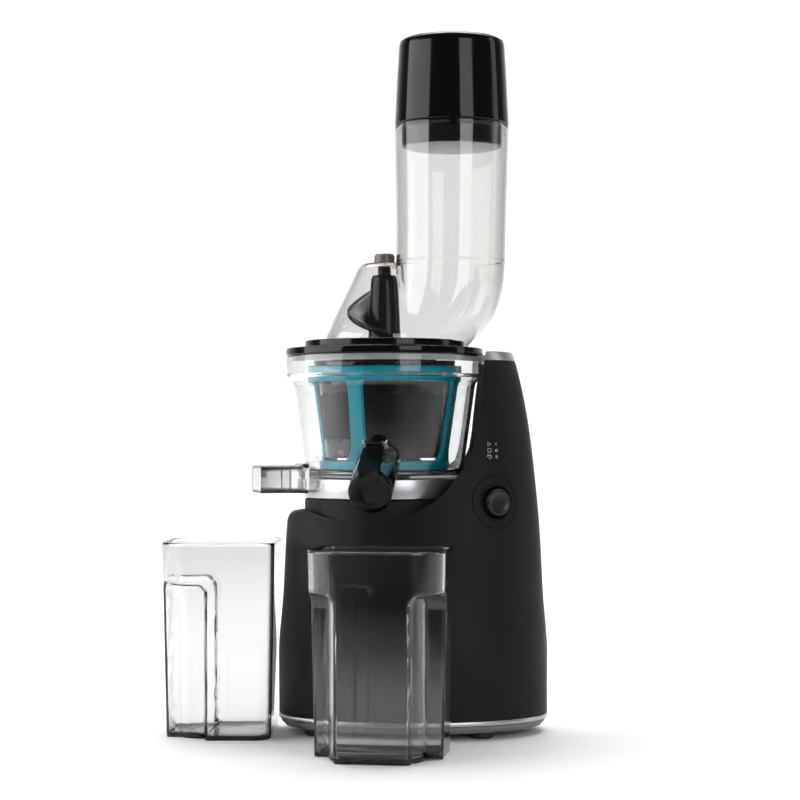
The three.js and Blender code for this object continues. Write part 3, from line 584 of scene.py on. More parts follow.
def oval_ring(name, profile, material, body, slot, nodes, segments=256):
    """A closed profile of (outset from the base's outline at its foot, height), run round the base."""
    _, half_width, half_depth = BASE_SECTIONS[0]
    points = []
    for outset, z in profile:
        for i in range(segments):
            angle = 2 * math.pi * i / segments
            x = BASE_X + (half_width + outset) * math.cos(angle)
            points.append(at_axis(x, (half_depth + outset) * math.sin(angle), z))
    faces = ring_faces(len(profile), segments, closed=True)
    new_piece(name, points, faces, material, body, slot, nodes)


trim_profile = rounded([(-3, 10.6), (0.2, 10.6), (0.4, 12.2), (0.2, 13.9), (-3, 13.9)], [0, 0.6, 0.6, 0.6, 0])
oval_ring("foot_trim", trim_profile, silver, "base", "silver_plastic", ["base_trim_ring"])

CAP_LOW, CAP_HIGH = 277.3, 284
CRESCENT_STEPS = 60


def crescent_ring(z, inset):
    """The outline of the tower between the dish and the outside wall, drawn in by inset."""
    inner = DISH[-1][0] + inset
    low, high = 0.0, math.pi / 2
    for _ in range(40):
        middle = (low + high) / 2
        if base_reach(middle, z) - inset > inner + 0.05:
            low = middle
        else:
            high = middle
    angles = [low * (2 * k / CRESCENT_STEPS - 1) for k in range(CRESCENT_STEPS + 1)]
    outside = [(base_reach(abs(a), z) - inset, a) for a in angles]
    inside = [(inner, a) for a in reversed(angles)]
    return [at_angle(r, a, z) for r, a in outside + inside]


cap_levels = [(CAP_LOW, 0.6), (CAP_LOW, 0), (CAP_HIGH - 0.8, 0), (CAP_HIGH - 0.25, 0.25), (CAP_HIGH, 0.8)]
cap_rings = [crescent_ring(z, inset) for z, inset in cap_levels]
cap_count = len(cap_rings[0])
cap_points = [p for ring in cap_rings for p in ring]
cap_faces = ring_faces(len(cap_levels), cap_count)
top = (len(cap_levels) - 1) * cap_count
for k in range(cap_count // 2 - 1):
    cap_faces.append((top + k, top + k + 1, top + cap_count - 2 - k, top + cap_count - 1 - k))
    cap_faces.append((k + 1, k, cap_count - 1 - k, cap_count - 2 - k))
new_piece("tower_cap_plate", cap_points, cap_faces, silver, "base", "silver_plastic", ["tower_cap"],
          sharp=50)

collar = [(52, 175), (59.6, 175), (60, 182), (59.6, 189.5), (52, 189.5)]
turned("bowl_collar", rounded(collar, [0.3, 0.9, 0, 0.9, 0.3]), silver, "base", "silver_plastic",
       ["collar_ring"], segments=192)

# ---- Bottom plate and feet ----
# A grey moulded tray closes the base from below. Four screws hold it, and it stands on four round rubber
# feet pressed into its corners.
tray_grey = moulded(
    "grey_moulding", (0.2, 0.2, 0.21), 0.5, (0.0005, 0.0001, 0.25), (0.42, 0.6, 0.04)
)
foot_rubber = moulded(
    "foot_rubber", (0.02, 0.02, 0.02), 0.75, (0.0003, 0.0001, 0.4), (0.65, 0.85, 0.006)
)

tray_profile = rounded([(-60, 5.1), (-5, 5.1), (-2.2, 7.5), (-1.4, 10.1), (-60, 10.1)], [0, 1.2, 2, 0.3, 0])
oval_ring("bottom_tray", tray_profile, tray_grey, "base", "grey_plastic", [])
plate_node = frame["nodes"]["bottom_plate"]
plate_node.data.materials.clear()
plate_node.data.materials.append(tray_grey)
foot = [(0.001, 0.2), (3, 0.2), (3.4, 0), (7.2, 0), (8, 2), (8, 4.6), (0.001, 4.6)]
foot_profile = rounded(foot, [0, 0, 0.2, 0.8, 0.6, 0, 0])
for corner in ("front_right", "rear_right", "front_left", "rear_left"):
    low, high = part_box("foot_" + corner)
    spot = ((low + high) / 2 - AXIS) / MM
    turned("foot_pad_" + corner, foot_profile, foot_rubber, "base", "black_rubber", ["foot_" + corner],
           centre=(spot.x, spot.y), segments=48)

# ---- Juice bowl ----
# A clear Tritan bowl, thick at its stepped rim, with a sloping spout moulded on at the front. The spout
# carries two ears for the cap's hinge pin.
SPOUT_ROOT = Vector((-4.1, -60, 201.7))
SPOUT_MOUTH = Vector((-8.7, -97.9, 183.7))
SPOUT_R = 15.7
SPOUT_BORE = 13
HINGE_BACK = 12
HINGE_UP = 19.3
SPOUT_LENGTH = (SPOUT_MOUTH - SPOUT_ROOT).length


def clear_plastic(name, tint, density, roughness=0.03, shade=(0.5, 0.5, 0.5)):
    """Clear moulded plastic: a dielectric skin with light soaked up along the path inside it."""
    material = moulded(
        name, tint, roughness, (0.02, 0.0002, 0.06), (roughness * 0.6, roughness * 1.8, 0.03),
        Transmission_Weight=1.0, IOR=1.45, Specular_IOR_Level=0.14,
    )
    tree = material.node_tree
    soak = tree.nodes.new("ShaderNodeVolumeAbsorption")
    soak.inputs["Color"].default_value = (*shade, 1)
    soak.inputs["Density"].default_value = density
    tree.links.new(soak.outputs["Volume"], tree.nodes["Material Output"].inputs["Volume"])
    return material


bowl_clear = clear_plastic("bowl_tritan", (0.99, 0.995, 1.0), 24, 0.02)

out = (SPOUT_MOUTH - SPOUT_ROOT).normalized()
up = (Vector((0, 0, 1)) - out.z * out).normalized()
across = (-out).cross(up)
spout_frame = Matrix.Translation(at_axis(*SPOUT_ROOT)) @ Matrix((
    (across.x, -out.x, up.x, 0), (across.y, -out.y, up.y, 0), (across.z, -out.z, up.z, 0), (0, 0, 0, 1)
))
# The tube's own frame has Z along the tube, out of the mouth.
tube_frame = spout_frame @ Matrix.Rotation(math.radians(90), 4, "X")

# The wall's outline up the outside and down the inside, and how far each of its corners is rounded.
bowl_outside = [(59, 190), (59.2, 192), (60.5, 203), (64.4, 231), (68.1, 258.5), (69.0, 261.5), (73.0, 264.6),
                (73.6, 266.5), (73.6, 280.2), (72.9, 281)]
bowl_inside = [(71.4, 281), (71.1, 280.4), (71.1, 267.4), (70.2, 266), (66.3, 262.4), (65.6, 259.5),
               (61.9, 231), (58, 203), (57, 196.5), (54, 193)]
bowl_profile = [(14, 190)] + bowl_outside + bowl_inside + [(14, 193)]
bowl_corners = [0.4, 0.6, 1.5, 30, 30, 4, 2, 2, 1, 0.6, 0.6, 0.3, 0.3, 1, 2, 2, 4, 30, 30, 5, 3, 0.4]
bowl = turned("bowl_moulding", rounded(bowl_profile, bowl_corners, 3), bowl_clear, "bowl", "clear_plastic",
              ["juice_bowl"], segments=192, sharp=50)
tube = [(0.001, -8), (SPOUT_R, -8), (SPOUT_R, SPOUT_LENGTH), (0.001, SPOUT_LENGTH)]
combine(bowl, round_tool("tube", tube_frame, rounded(tube, [0, 0, 0.7, 0]), 96), "UNION")


def block_tool(matrix, x, y, z):
    """A block between two x, two y and two z, in millimetres of matrix's frame."""
    corners = [(a, b, c) for a in x for b in y for c in z]
    points = [matrix @ (Vector(p) * MM) for p in corners]
    faces = [(0, 1, 3, 2), (4, 6, 7, 5), (0, 4, 5, 1), (2, 3, 7, 6), (0, 2, 6, 4), (1, 5, 7, 3)]
    return loose("block", points, faces)


for side in (-1, 1):
    ear_x = sorted((side * 6.3, side * 8.8))
    ear = block_tool(spout_frame, ear_x, (-HINGE_BACK - 4, -HINGE_BACK + 4), (11, HINGE_UP + 3.2))
    combine(bowl, ear, "UNION")
combine(bowl, round_tool("bore", tube_frame, plug_profile(SPOUT_BORE, -5.4, SPOUT_LENGTH + 4), 96))
combine(bowl, round_tool("seat", Matrix.Translation(at_axis(0, 0, 0)), plug_profile(60.3, 170, 189.95), 128))

# ---- Spout cap ----
# A gloss-black disc on a sprung lever. The lever turns on a steel pin between the spout's ears and has a
# raised U-shaped rim round its thumb grip. A silicone disc behind the cap seals the mouth.
LEVER_HALF = 7.6
face = SPOUT_LENGTH + 2.3
cap_disc = [(0.001, face), (SPOUT_R, face), (SPOUT_R, face + 4.2), (12.5, face + 4.9), (0.001, face + 4.6)]
cap = round_tool("spout_cap_lever", tube_frame, rounded(cap_disc, [0, 0.5, 1.2, 1, 0], 5), 128)
cap.data.materials.append(gloss_black)
reach = -SPOUT_LENGTH - 6.5
lever_width = (-LEVER_HALF, LEVER_HALF)
for y, z in (
    ((reach, -HINGE_BACK + 2), (HINGE_UP - 2.6, HINGE_UP + 1.2)),
    ((reach - 0.6, reach + 6), (2, HINGE_UP + 1.2)),
):
    combine(cap, block_tool(spout_frame, lever_width, y, z), "UNION")


def column_faces(rings, count):
    """The faces of a closed column: quads between its rings and a cap on each end."""
    last = count * (rings - 1)
    ends = [tuple(range(count)), tuple(last + k for k in reversed(range(count)))]
    return ring_faces(rings, count) + ends


def u_rail(half_width, low, high, depth):
    """The raised rim: up one side of the grip, round under it and up the other side."""
    line = [(-half_width, high)] + arc(0, low + half_width, half_width, 180, 360, 20) + [(half_width, high)]
    points = []
    for i, (x, z) in enumerate(line):
        before = Vector(line[max(i - 1, 0)])
        after = Vector(line[min(i + 1, len(line) - 1)])
        along = (after - before).normalized()
        side = Vector((-along.y, along.x)) * 0.9
        for sx, dy in ((-1, 0), (-1, -1.0), (-0.5, -depth), (0.5, -depth), (1, -1.0), (1, 0)):
            points.append(spout_frame @ (Vector((x + sx * side.x, reach + 0.4 + dy, z + sx * side.y)) * MM))
    return loose("rail", points, column_faces(len(line), 6))


combine(cap, u_rail(6.7, -9.2, HINGE_UP + 0.8, 2.4), "UNION")
hinge = spout_frame @ Vector((0, -HINGE_BACK * MM, HINGE_UP * MM)) - spout_frame.translation
knuckle_frame = Matrix.Translation(hinge) @ spout_frame @ Matrix.Rotation(math.radians(90), 4, "Y")
combine(cap, round_tool("knuckle", knuckle_frame, plug_profile(3.3, -6, 6), 32), "UNION")
for side in (-1, 1):
    slot_x = sorted((side * 6.1, side * 9.2))
    combine(cap, block_tool(spout_frame, slot_x, (-HINGE_BACK - 4.6, -HINGE_BACK + 6), (0, HINGE_UP + 6)))
settle(cap, sharp=35)
fit(cap, "spout_lever", ["spout_cap"])

# ---- Pulp outlet ----
# A smoked clear duct with rounded corners and a flange where it meets the bowl, open at its left end.
OUTLET_TURN = math.radians(15)
outlet_frame = Matrix.Translation(AXIS) @ Matrix.Rotation(OUTLET_TURN, 4, "Z")
smoke = clear_plastic("smoked_tritan", (0.97, 0.97, 0.97), 110, 0.03)


def duct_ring(x, half_width, low, high, radius):
    """One round-cornered section of the duct, a distance out along it."""
    corners = []
    for sy, sz, quarter in ((1, 1, 0), (-1, 1, 1), (-1, -1, 2), (1, -1, 3)):
        for k in range(7):
            a = math.radians(90 * (quarter + k / 6))
            y = sy * (half_width - radius) + radius * math.cos(a)
            z = (low + high) / 2 + sz * ((high - low) / 2 - radius) + radius * math.sin(a)
            corners.append(outlet_frame @ (Vector((x, y, z)) * MM))
    return corners


duct_rings = [
    duct_ring(-62, 14.8, 181.2, 197.2, 2.4), duct_ring(-97.6, 15.0, 181.0, 197.4, 2.4),
    duct_ring(-98, 15.4, 180.6, 197.8, 2.6), duct_ring(-98, 16.6, 179.3, 199.1, 3.6),
    duct_ring(-97.4, 17, 179, 199.4, 4), duct_ring(-67, 17, 179, 199.4, 4),
    duct_ring(-66.4, 17.3, 178.8, 199.8, 4), duct_ring(-65.6, 18.8, 178.9, 200.8, 4),
    duct_ring(-62.6, 19, 178.9, 200.9, 4), duct_ring(-62, 18.6, 179.1, 200.6, 4),
]
duct_points = [p for ring in duct_rings for p in ring]
new_piece("pulp_duct", duct_points, ring_faces(len(duct_rings), len(duct_rings[0]), closed=True), smoke,
          "bowl", "smoky_plastic", ["pulp_outlet"], sharp=50)

# ---- Wiper frame ----
# A cyan frame that turns round the strainer: a top ring and a toothed bottom ring joined by four posts
# that flow into the rings, each carrying a silicone wiper blade.
POST_LOW, POST_HIGH = 200, 270
POSTS = (-112.5, -22.5, 67.5, 157.5)
TEETH = 32
cyan = moulded(
    "cyan_nylon", (0.0, 0.42, 0.55), 0.3, (0.0008, 0.00004, 0.15), (0.24, 0.4, 0.02),
    ((0.0, 0.38, 0.50, 1), (0.0, 0.46, 0.60, 1)),
)
frame_top = rounded([(54, 263.2), (57.8, 263.2), (58, 272.6), (54.6, 272.6)], [0.8, 0.8, 1.2, 0.8])
wiper_ring = turned("wiper_frame_body", frame_top, cyan, "wiper_frame", "blue_plastic", ["brush_frame"],
                    segments=160, sharp=50)
frame_low = rounded([(42.9, 194.4), (49, 194.4), (49, 202.6), (42.9, 202.6)], [0.3, 1, 1, 0.3])
combine(wiper_ring, round_tool("low_ring", Matrix.Translation(AXIS), frame_low, 160), "UNION")


def post_tool(degrees):
    """A post between the rings: it widens into a fillet at both ends."""
    angle = math.radians(degrees)
    points = []
    levels = 24
    for k in range(levels + 1):
        z = POST_LOW + (POST_HIGH - POST_LOW) * k / levels
        t = (z - 203) / (263 - 203)
        r = 45.4 + 8.9 * max(0, t)
        foot_fillet, head_fillet = max(0, 1 - (z - POST_LOW) / 14), max(0, 1 - (POST_HIGH - z) / 13)
        half_width = 5.6 + 9 * foot_fillet**2 + 7 * head_fillet**2
        for dr, dw in ((0, -1), (1.2, -1.08), (3.3, -0.9), (3.3, 0.9), (1.2, 1.08), (0, 1)):
            points.append(at_angle(r + dr, angle + dw * half_width / (r + dr), z))
    return loose("post", points, column_faces(levels + 1, 6))


for degrees in POSTS:
    combine(wiper_ring, post_tool(degrees), "UNION")


def spoke(name, angle, levels, material, body, slot):
    """A straight bar at an angle round the axis, from one level's corners to the next's."""
    place = Matrix.Translation(AXIS) @ Matrix.Rotation(angle, 4, "Z")
    points = [place @ (Vector((x, y, z)) * MM) for z, corners in levels for x, y in corners]
    faces = [(0, 3, 2, 1), (4, 5, 6, 7), (0, 1, 5, 4), (1, 2, 6, 5), (2, 3, 7, 6), (3, 0, 4, 7)]
    new_piece(name, points, faces, material, body, slot, smooth=False)


tooth = [(38.6, -0.9), (43.4, -2.3), (43.4, 2.3), (38.6, 0.9)]
for k in range(TEETH):
    angle = 2 * math.pi * k / TEETH + math.radians(60)
    spoke(f"ring_tooth_{k + 1}", angle, [(194.5, tooth), (202.5, tooth)], cyan, "wiper_frame", "blue_plastic")
settle(wiper_ring, sharp=35)

# ---- Strainer ----
# A dark juicing cup that stands still in the bowl: smoked plastic above and below, and between them a band
# of windows closed by a fine perforated steel screen and parted by upright ribs.
STRAINER_LOW, STRAINER_HIGH = 205, 270
SCREEN_LOW, SCREEN_HIGH = 219, 252
HOLES_PER_METRE = 900.0
RIBS = 16


def strainer_radius(z):
    return 44 + (z - STRAINER_LOW) * 6 / (STRAINER_HIGH - STRAINER_LOW)


smoke_dark = clear_plastic("strainer_tritan", (0.7, 0.69, 0.67), 1500, 0.06)
screen_steel, shader, wire = finish("screen_steel", (0.002, 0.002, 0.002), 0.5, Specular_IOR_Level=0.08)
mesh_cells = {"Vector": place_wire(wire), "Scale": HOLES_PER_METRE, "Randomness": 0.15}
pits = remap(wire.node("TexVoronoi", {"feature": "F1"}, mesh_cells), 0.2, 0.5, 0.0, 1.0)
feed(shader, pits.mix((0.0005, 0.0005, 0.0005, 1), (0.003, 0.003, 0.003, 1)), "Base Color")
feed(shader, wire.node("Bump", inputs={"Strength": 0.5, "Distance": 0.0003, "Height": pits}), "Normal")
cup = [
    (17.3, 205), (strainer_radius(205), 205), (strainer_radius(215), 215), (strainer_radius(252), 252),
    (strainer_radius(270), 270), (53.4, 272), (53.4, 276), (50.6, 276), (strainer_radius(270) - 1.6, 270),
    (strainer_radius(215) - 1.6, 215), (strainer_radius(205) - 1.8, 207), (17.3, 207),
]
cup_smooth = rounded(cup, [0.3, 1.2, 0, 0, 1, 0.5, 0.5, 0.5, 1, 0, 1, 0.3])
turned("strainer_cup", cup_smooth, smoke_dark, "bowl", "dark_plastic", ["strainer"], sharp=50)
screen = [(strainer_radius(z) + 0.05, z) for z in (SCREEN_LOW, SCREEN_HIGH)]
screen += [(strainer_radius(z) + 0.3, z) for z in (SCREEN_HIGH, SCREEN_LOW)]
turned("strainer_screen_band", screen, screen_steel, "bowl", "steel", ["strainer_screen"], sharp=50)
rib = []
for z in (SCREEN_LOW - 2, SCREEN_HIGH + 2):
    r = strainer_radius(z)
    rib.append((z, [(r, -1), (r + 0.5, -0.7), (r + 0.5, 0.7), (r, 1)]))
for k in range(RIBS):
    spoke(f"strainer_rib_{k + 1}", 2 * math.pi * k / RIBS, rib, screen_steel, "bowl", "dark_plastic")

# ---- Auger ----
# A hard black screw that the output shaft turns: a tapering core with two helical flights that draw the
# food down and squeeze it outwards. One flight goes on up into the dome, to bite into whole fruit.
auger_black = moulded(
    "auger_black", (0.003, 0.003, 0.003), 0.16, (0.003, 0.00004, 0.15), (0.1, 0.24, 0.02),
    Specular_IOR_Level=0.3,
)


def auger_core(z):
    return 12 + 13 * max(0, (300 - z) / 92) ** 1.3


def auger_flight(z):
    above = max(0, z - 292)
    return min(strainer_radius(z) - 3.2, 39.8, 39.6 - 0.35 * above - 0.0065 * above**2)


core = [(8.6, 203.2), (16, 203.2), (16, 207.4)]
core += [(auger_core(z), z) for z in range(208, 301, 6)]
core += [(10.5, 336), (10, 339), (9, 341.6), (5, 341.8), (5, 347.8), (4.6, 348.2), (0.001, 348.2)]
core += [(0.001, 238), (8.6, 238)]
turned("auger_screw", core, auger_black, "auger_unit", "gloss_black", ["auger"], segments=96, sharp=50)
FLIGHT_LOW, PITCH_CHANGE, LOBE = 213, 290, 318
PITCH_LOW, PITCH_HIGH = 62, 88


def flight(turn, high):
    """A helical blade up to a height; turn is where it points at the lobe, in radians."""
    steps = 200
    points = []
    for i in range(steps + 1):
        z = FLIGHT_LOW + (high - FLIGHT_LOW) * i / steps
        turns = (LOBE - max(z, PITCH_CHANGE)) / PITCH_HIGH + (PITCH_CHANGE - min(z, PITCH_CHANGE)) / PITCH_LOW
        angle = turn + 2 * math.pi * turns
        outer = max(auger_flight(z), auger_core(z) - 1.5)
        inner = min(auger_core(z) - 4, outer - 1)
        for r, half in [(inner, -4.6), ((inner + outer) / 2, -2.8), (outer - 0.8, -2.2), (outer, -1.4),
                        (outer, 1.4), (outer - 0.8, 2.2), ((inner + outer) / 2, 2.8), (inner, 4.6)]:
            points.append(at_angle(r, angle, z + half))
    return points, column_faces(steps + 1, 8)


for name, turn, high in (("long", math.pi, 335), ("short", 0, 294)):
    points, faces = flight(turn, high)
    new_piece(f"auger_flight_{name}", points, faces, auger_black, "auger_unit", "gloss_black", sharp=50)

# ---- Lid ring ----
# The gloss-black part of the lid: a flange that turns and locks on the bowl's rim, and a smaller step
# above it that the clear dome stands in.
DOME_R = 44
ring_profile = [(DOME_R + 0.4, 278), (66, 278), (66, 281.4), (74.2, 281.4), (74.2, 286.9), (61.5, 287.2),
                (60, 288.2), (60, 292.7), (DOME_R + 0.4, 292.7)]
ring_smooth = rounded(ring_profile, [0.3, 0.3, 0.2, 0.8, 1.2, 0.4, 0.6, 0.9, 0.3])
turned("lid_ring_moulding", ring_smooth, gloss_black, "lid", "gloss_black", ["lid_ring"], segments=192)

# ---- Lid dome and feed chute ----
# One clear smoked moulding, bonded into the lid ring: a cone over the auger that flows into the wide chute
# at its side. A fine weld line runs round the chute where its tube begins.
CHUTE = [  # height, middle and radius
    (287.4, 19.8, 41.9), (300, 31.9, 41.8), (316, 42.7, 41.6), (338, 48.5, 41.4), (356, 49.8, 41.2),
    (454.7, 50.7, 43),
]
CHUTE_CENTRE = 30
DOME_TOP = 351
DOME = [(281, DOME_R), (295, DOME_R), (300, 42.2), (341, 23), (347, 20.2), (350, 17.5), (DOME_TOP, 15.5)]
DOME_WALL = 2.6
SEAM_SOFT = 1.0
WELD = 352.4
LID_SEGMENTS = 192


def exit_distance(centre, radius, angle):
    """Distance from the loft's middle line to a circle's far side, or nothing where it is missed."""
    dx = CHUTE_CENTRE - centre
    along = dx * math.cos(angle)
    inside = along * along - dx * dx + radius * radius
    return None if inside < 0 else -along + math.sqrt(inside)


def lid_ring_points(z, wall, share, height=None):
    """One level of the moulding: the dome's circle joined smoothly to the chute's circle."""
    centre = curve_through([(h, x) for h, x, _ in CHUTE], z)
    chute_r = curve_through([(h, r) for h, _, r in CHUTE], z) - wall
    points = []
    for i in range(LID_SEGMENTS):
        angle = 2 * math.pi * i / LID_SEGMENTS
        chute = exit_distance(centre, chute_r, angle)
        dome = exit_distance(0, curve_through(DOME, min(z, DOME_TOP)) - wall, angle)
        reach = chute
        if z < CHUTE[0][0]:
            reach = dome
        elif dome is not None and share > 0:
            gap = (dome - chute) / SEAM_SOFT
            joined = max(dome, chute) + SEAM_SOFT * 0.25 * max(0, 1 - abs(gap)) ** 2
            reach = chute + (joined - chute) * share
        points.append(at_axis(CHUTE_CENTRE + reach * math.cos(angle), reach * math.sin(angle), height or z))
    return points


def lid_skin(wall, top_flat):
    """Levels from the foot to the rim; the dome's flat top is drawn in at one height."""
    heights = [281.8, 285, 287.3] + [287.5 + (top_flat - 287.5) * k / 34 for k in range(35)]
    rings = [lid_ring_points(z, wall, 1) for z in heights]
    rings += [lid_ring_points(top_flat, wall, s, top_flat + 0.15) for s in (0.85, 0.6, 0.3, 0.1, 0)]
    if wall == 0:
        groove = ((-0.4, 0), (-0.15, 0.35), (0.15, 0.35), (0.4, 0))
        rings += [lid_ring_points(WELD + dz, depth, 0) for dz, depth in groove]
    above = [WELD + 1.2 + (453.5 - WELD) * k / 22 for k in range(22)]
    return rings + [lid_ring_points(z, wall, 0) for z in above]


rim = [lid_ring_points(z, wall, 0) for z, wall in ((454.4, 0.2), (454.7, 0.9), (454.7, 2.1), (454.3, 2.7))]
lid_levels = lid_skin(0, DOME_TOP) + rim + list(reversed(lid_skin(DOME_WALL, DOME_TOP - DOME_WALL)))
lid_points = [p for ring in lid_levels for p in ring]
lid_smoke = clear_plastic("lid_tritan", (0.985, 0.98, 0.975), 135, 0.02, shade=(0.5, 0.49, 0.475))
new_piece("lid_dome_moulding", lid_points, ring_faces(len(lid_levels), LID_SEGMENTS, closed=True),
          lid_smoke, "lid", "clear_plastic", ["lid_dome", "feed_tube"], sharp=60)

# ---- Bearing cap ----
# The small brown-smoked cap pressed into the top of the dome. The auger's upper pin turns in the steel
# bush inside it.
cap_brown = moulded(
    "bearing_brown", (0.16, 0.13, 0.11), 0.25, (0.001, 0.00005, 0.2), (0.2, 0.35, 0.005)
)
bearing = [(5.2, 351.3), (7.7, 351.3), (7.7, 356.8), (6.6, 358.4), (0.001, 358.5), (0.001, 356)]
turned("bearing_cap_round", rounded(bearing, [0, 0.5, 0.8, 1, 0, 0]), cap_brown, "lid", "brown_plastic",
       ["bearing_cap"], segments=64)

# ---- Pusher ----
# A hollow gloss-black handle that caps the chute, with a plug below that reaches into it. A small key at
# the front shows which way it goes in.
CHUTE_X = 50.7
handle = [(37.9, 455.1), (42.4, 455.1), (43, 455.9), (42.9, 458), (41.4, 489), (39.9, 514), (39.2, 517.6),
          (36.6, 519.5), (0.001, 519.5), (0.001, 513), (36.4, 513)]
handle_smooth = rounded(handle, [0.2, 0.4, 0.4, 1, 20, 1.5, 1.4, 1.2, 0, 0, 0.5])
plug = [(0.001, 441.5), (37.4, 441.5), (37.6, 442), (37.6, 460), (36.4, 500), (0.001, 500)]
end_plate = [(0.001, 438.4), (36.4, 438.4), (37.4, 439.2), (37.4, 440.8), (37.0, 441.1), (0.001, 441.1)]
end_smooth = rounded(end_plate, [0, 0.8, 0.6, 0.3, 0, 0])
for name, profile, node in (
    ("pusher_grip", handle_smooth, "pusher_handle"), ("pusher_plug_body", plug, "pusher_plug"),
    ("pusher_end_round", end_smooth, "pusher_end_plate"),
):
    turned(name, profile, gloss_black, "pusher", "gloss_black", [node], centre=(CHUTE_X, 0), sharp=50)
key_frame = Matrix.Translation(at_axis(CHUTE_X, 0, 0))
key = block_tool(key_frame, (-5.5, 5.5), (-45.1, -43.3), (455.6, 458.5))
combine(key, block_tool(key_frame, (-2.5, 2.5), (-45.1, -43.3), (450, 457)), "UNION")
key.name = "pusher_key_tab"
key.data.materials.clear()
key.data.materials.append(gloss_black)
fit(key, "pusher", ["pusher_key"])

# ---- Jugs ----
# Two alike smoked clear jugs, slightly tapered. A grip flute runs up each front corner from the foot and
# ends in a rounded shoulder, so that the middle of the front stands proud.
jug_smoke = clear_plastic("jug_tritan", (0.985, 0.98, 0.98), 130, 0.02, shade=(0.5, 0.49, 0.485))
JUG_LOW = (44.8, 39.3)
JUG_HIGH = (48, 42)
JUG_HEIGHT = 143.4
JUG_WALL = 2.3
JUG_REAR_CORNER = 12
JUG_FRONT_CORNER = 28
FLUTE_TOP, FLUTE_EDGE = 115, 2.6
BULGE, FLUTE_BACK = 26, -8
FLUTE_X, FLUTE_Y = 34, -31.5


def jug_outline(z, inset):
    """The jug's outline at a height: an even run of points round it, drawn in where a flute is cut."""
    t = z / JUG_HEIGHT
    half_width = JUG_LOW[0] + (JUG_HIGH[0] - JUG_LOW[0]) * t
    half_depth = JUG_LOW[1] + (JUG_HIGH[1] - JUG_LOW[1]) * t
    plain = []
    for (cx, cy), quarter in (((1, -1), 3), ((1, 1), 0), ((-1, 1), 1), ((-1, -1), 2)):
        corner = JUG_REAR_CORNER if cy > 0 else JUG_FRONT_CORNER
        for k in range(17):
            a = math.radians(90 * (quarter + k / 16))
            x = cx * (half_width - corner) + corner * math.cos(a)
            y = cy * (half_depth - corner) + corner * math.sin(a)
            plain.append(Vector((x, y)))
    closed = plain + [plain[0]]
    dense = []
    for a, b in zip(closed, closed[1:]):
        steps = max(1, round((b - a).length / 1.1))
        dense += [a.lerp(b, k / steps) for k in range(steps)]
    shaped = []
    for p in dense:
        x, y = abs(p.x), p.y
        if x > BULGE and y < FLUTE_BACK:
            depth = flute_depth(z, x, y)
            fit_x = BULGE + (x - BULGE) * (FLUTE_X - BULGE) / (half_width - BULGE)
            fit_y = FLUTE_BACK + (y - FLUTE_BACK) * (FLUTE_Y - FLUTE_BACK) / (-half_depth - FLUTE_BACK)
            x, y = x + (fit_x - x) * depth, y + (fit_y - y) * depth
        shaped.append(Vector((math.copysign(x, p.x), y)))
    return inset_outline(shaped, inset)


def flute_depth(z, x, y):
    """From 0 outside a flute to 1 on its floor; the flute ends in a shoulder with round corners."""
    edge_x = (x - BULGE) / FLUTE_EDGE
    edge_y = (FLUTE_BACK - y) / FLUTE_EDGE
    shoulder = (FLUTE_TOP - z) / 3.5
    rounding = max(0, 1 - edge_x / 3.5) ** 2 + max(0, 1 - edge_y / 3.5) ** 2
    shoulder -= 2.2 * min(1, rounding)
    return smooth_step(min(edge_x, edge_y, shoulder), 0, 1)


def inset_outline(points, inset):
    """Moves an outline inwards along its own normals."""
    if inset == 0:
        return points
    moved = []
    for i, p in enumerate(points):
        along = points[(i + 1) % len(points)] - points[i - 1]
        normal = Vector((-along.y, along.x)).normalized()
        moved.append(p + normal * inset)
    return moved


def make_jug(node, body, x, y, degrees):
    """A jug with its middle at x, y and its front turned by degrees from facing forwards."""
    count = len(jug_outline(0, 0))
    place = Matrix.Translation(at_axis(x, y, 0)) @ Matrix.Rotation(math.radians(degrees), 4, "Z")
    outer_heights = [0.0, 0.25, 0.9, 2, 6, 12, 24, 40, 58, 76, 92, 102, 107, 109.5, 111, 112, 113, 114, 115,
                     116.5, 119, 124, 130, 136, 141, 142.8]
    rings = [(0.0, 1.6)] + [(z, max(0, 1.2 - 1.35 * z) if z < 0.9 else 0) for z in outer_heights]
    rings += [(JUG_HEIGHT, 0.5), (JUG_HEIGHT, JUG_WALL - 0.5), (142.8, JUG_WALL)]
    rings += [(z, JUG_WALL) for z in reversed([z for z in outer_heights if 4 < z < 142])]
    rings += [(3.4, JUG_WALL + 0.5), (2.6, JUG_WALL + 2)]
    points = []
    for z, inset in rings:
        points += [place @ Vector((p.x * MM, p.y * MM, z * MM)) for p in fixed_outline(z, inset, count)]
    last = (len(rings) - 1) * count
    faces = ring_faces(len(rings), count)
    faces += [tuple(reversed(range(count))), tuple(last + k for k in range(count))]
    new_piece(node + "_moulding", points, faces, jug_smoke, body, "smoky_plastic", [node], sharp=75)


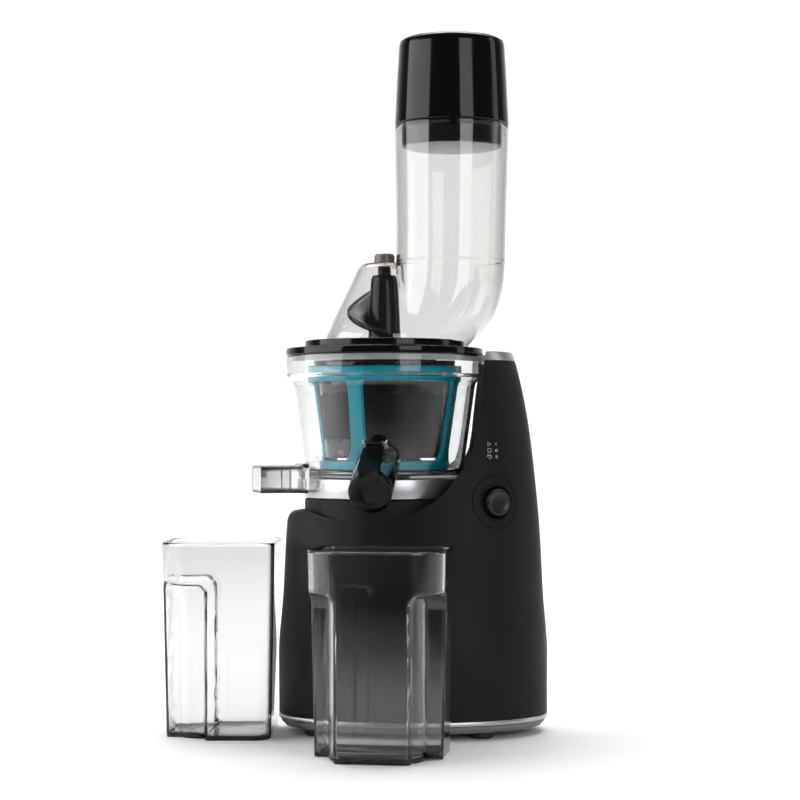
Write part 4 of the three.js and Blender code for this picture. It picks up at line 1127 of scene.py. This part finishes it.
def fixed_outline(z, inset, count):
    """An outline with a set number of points, spread as at the foot."""
    points = jug_outline(z, inset)
    if len(points) == count:
        return points
    share = len(points) / count
    result = []
    for k in range(count):
        at = k * share
        i = int(at)
        a, b = points[i % len(points)], points[(i + 1) % len(points)]
        result.append(a.lerp(b, at - i))
    return result


make_jug("juice_jug", "juice_container", -1.9, -130.5, -8.5)
make_jug("pulp_jug", "pulp_container", -121.2, -14, -91)

# ---- Seals, shaft and inner works ----
# The gears, shaft, motor, boards, seals and screws keep their modelled shapes and get their real finishes:
# silicone, turned steel, nylon, brass and lacquered board.
silicone = moulded(
    "silicone", (0.6, 0.6, 0.58), 0.5, (0.0006, 0.00006, 0.3), (0.42, 0.6, 0.01), Subsurface_Weight=0.1
)
steel = moulded(
    "turned_steel", (0.56, 0.56, 0.57), 0.28, (0.0004, 0.00005, 0.2, (1, 1, 20)), (0.2, 0.36, 0.01),
    Metallic=1.0,
)
nylon = moulded("white_nylon", (0.78, 0.76, 0.7), 0.45, (0.0008, 0.00006, 0.25), (0.38, 0.55, 0.01))
brass = moulded(
    "machined_brass", (0.55, 0.4, 0.16), 0.3, (0.0005, 0.00005, 0.2, (1, 1, 15)), (0.22, 0.4, 0.008),
    Metallic=1.0,
)
board_green = moulded(
    "board_lacquer", (0.02, 0.16, 0.06), 0.35, (0.002, 0.0001, 0.3), (0.3, 0.45, 0.01)
)
inner_dark = moulded(
    "dark_moulding", (0.03, 0.03, 0.033), 0.5, (0.0006, 0.0001, 0.25), (0.42, 0.6, 0.02)
)

SLOT_FINISHES = {
    "silicone": silicone, "steel": steel, "white_nylon": nylon, "brass": brass,
    "circuit_board": board_green, "dark_plastic": inner_dark, "black_rubber": foot_rubber,
    "gloss_black": gloss_black, "matte_black": matte_black, "grey_plastic": tray_grey,
}
for entry in frame["record"]["subparts"]:
    node = frame["nodes"][entry["node"]]
    if not node.hide_render and entry["material_slot"] in SLOT_FINISHES:
        node.data.materials.clear()
        node.data.materials.append(SLOT_FINISHES[entry["material_slot"]])
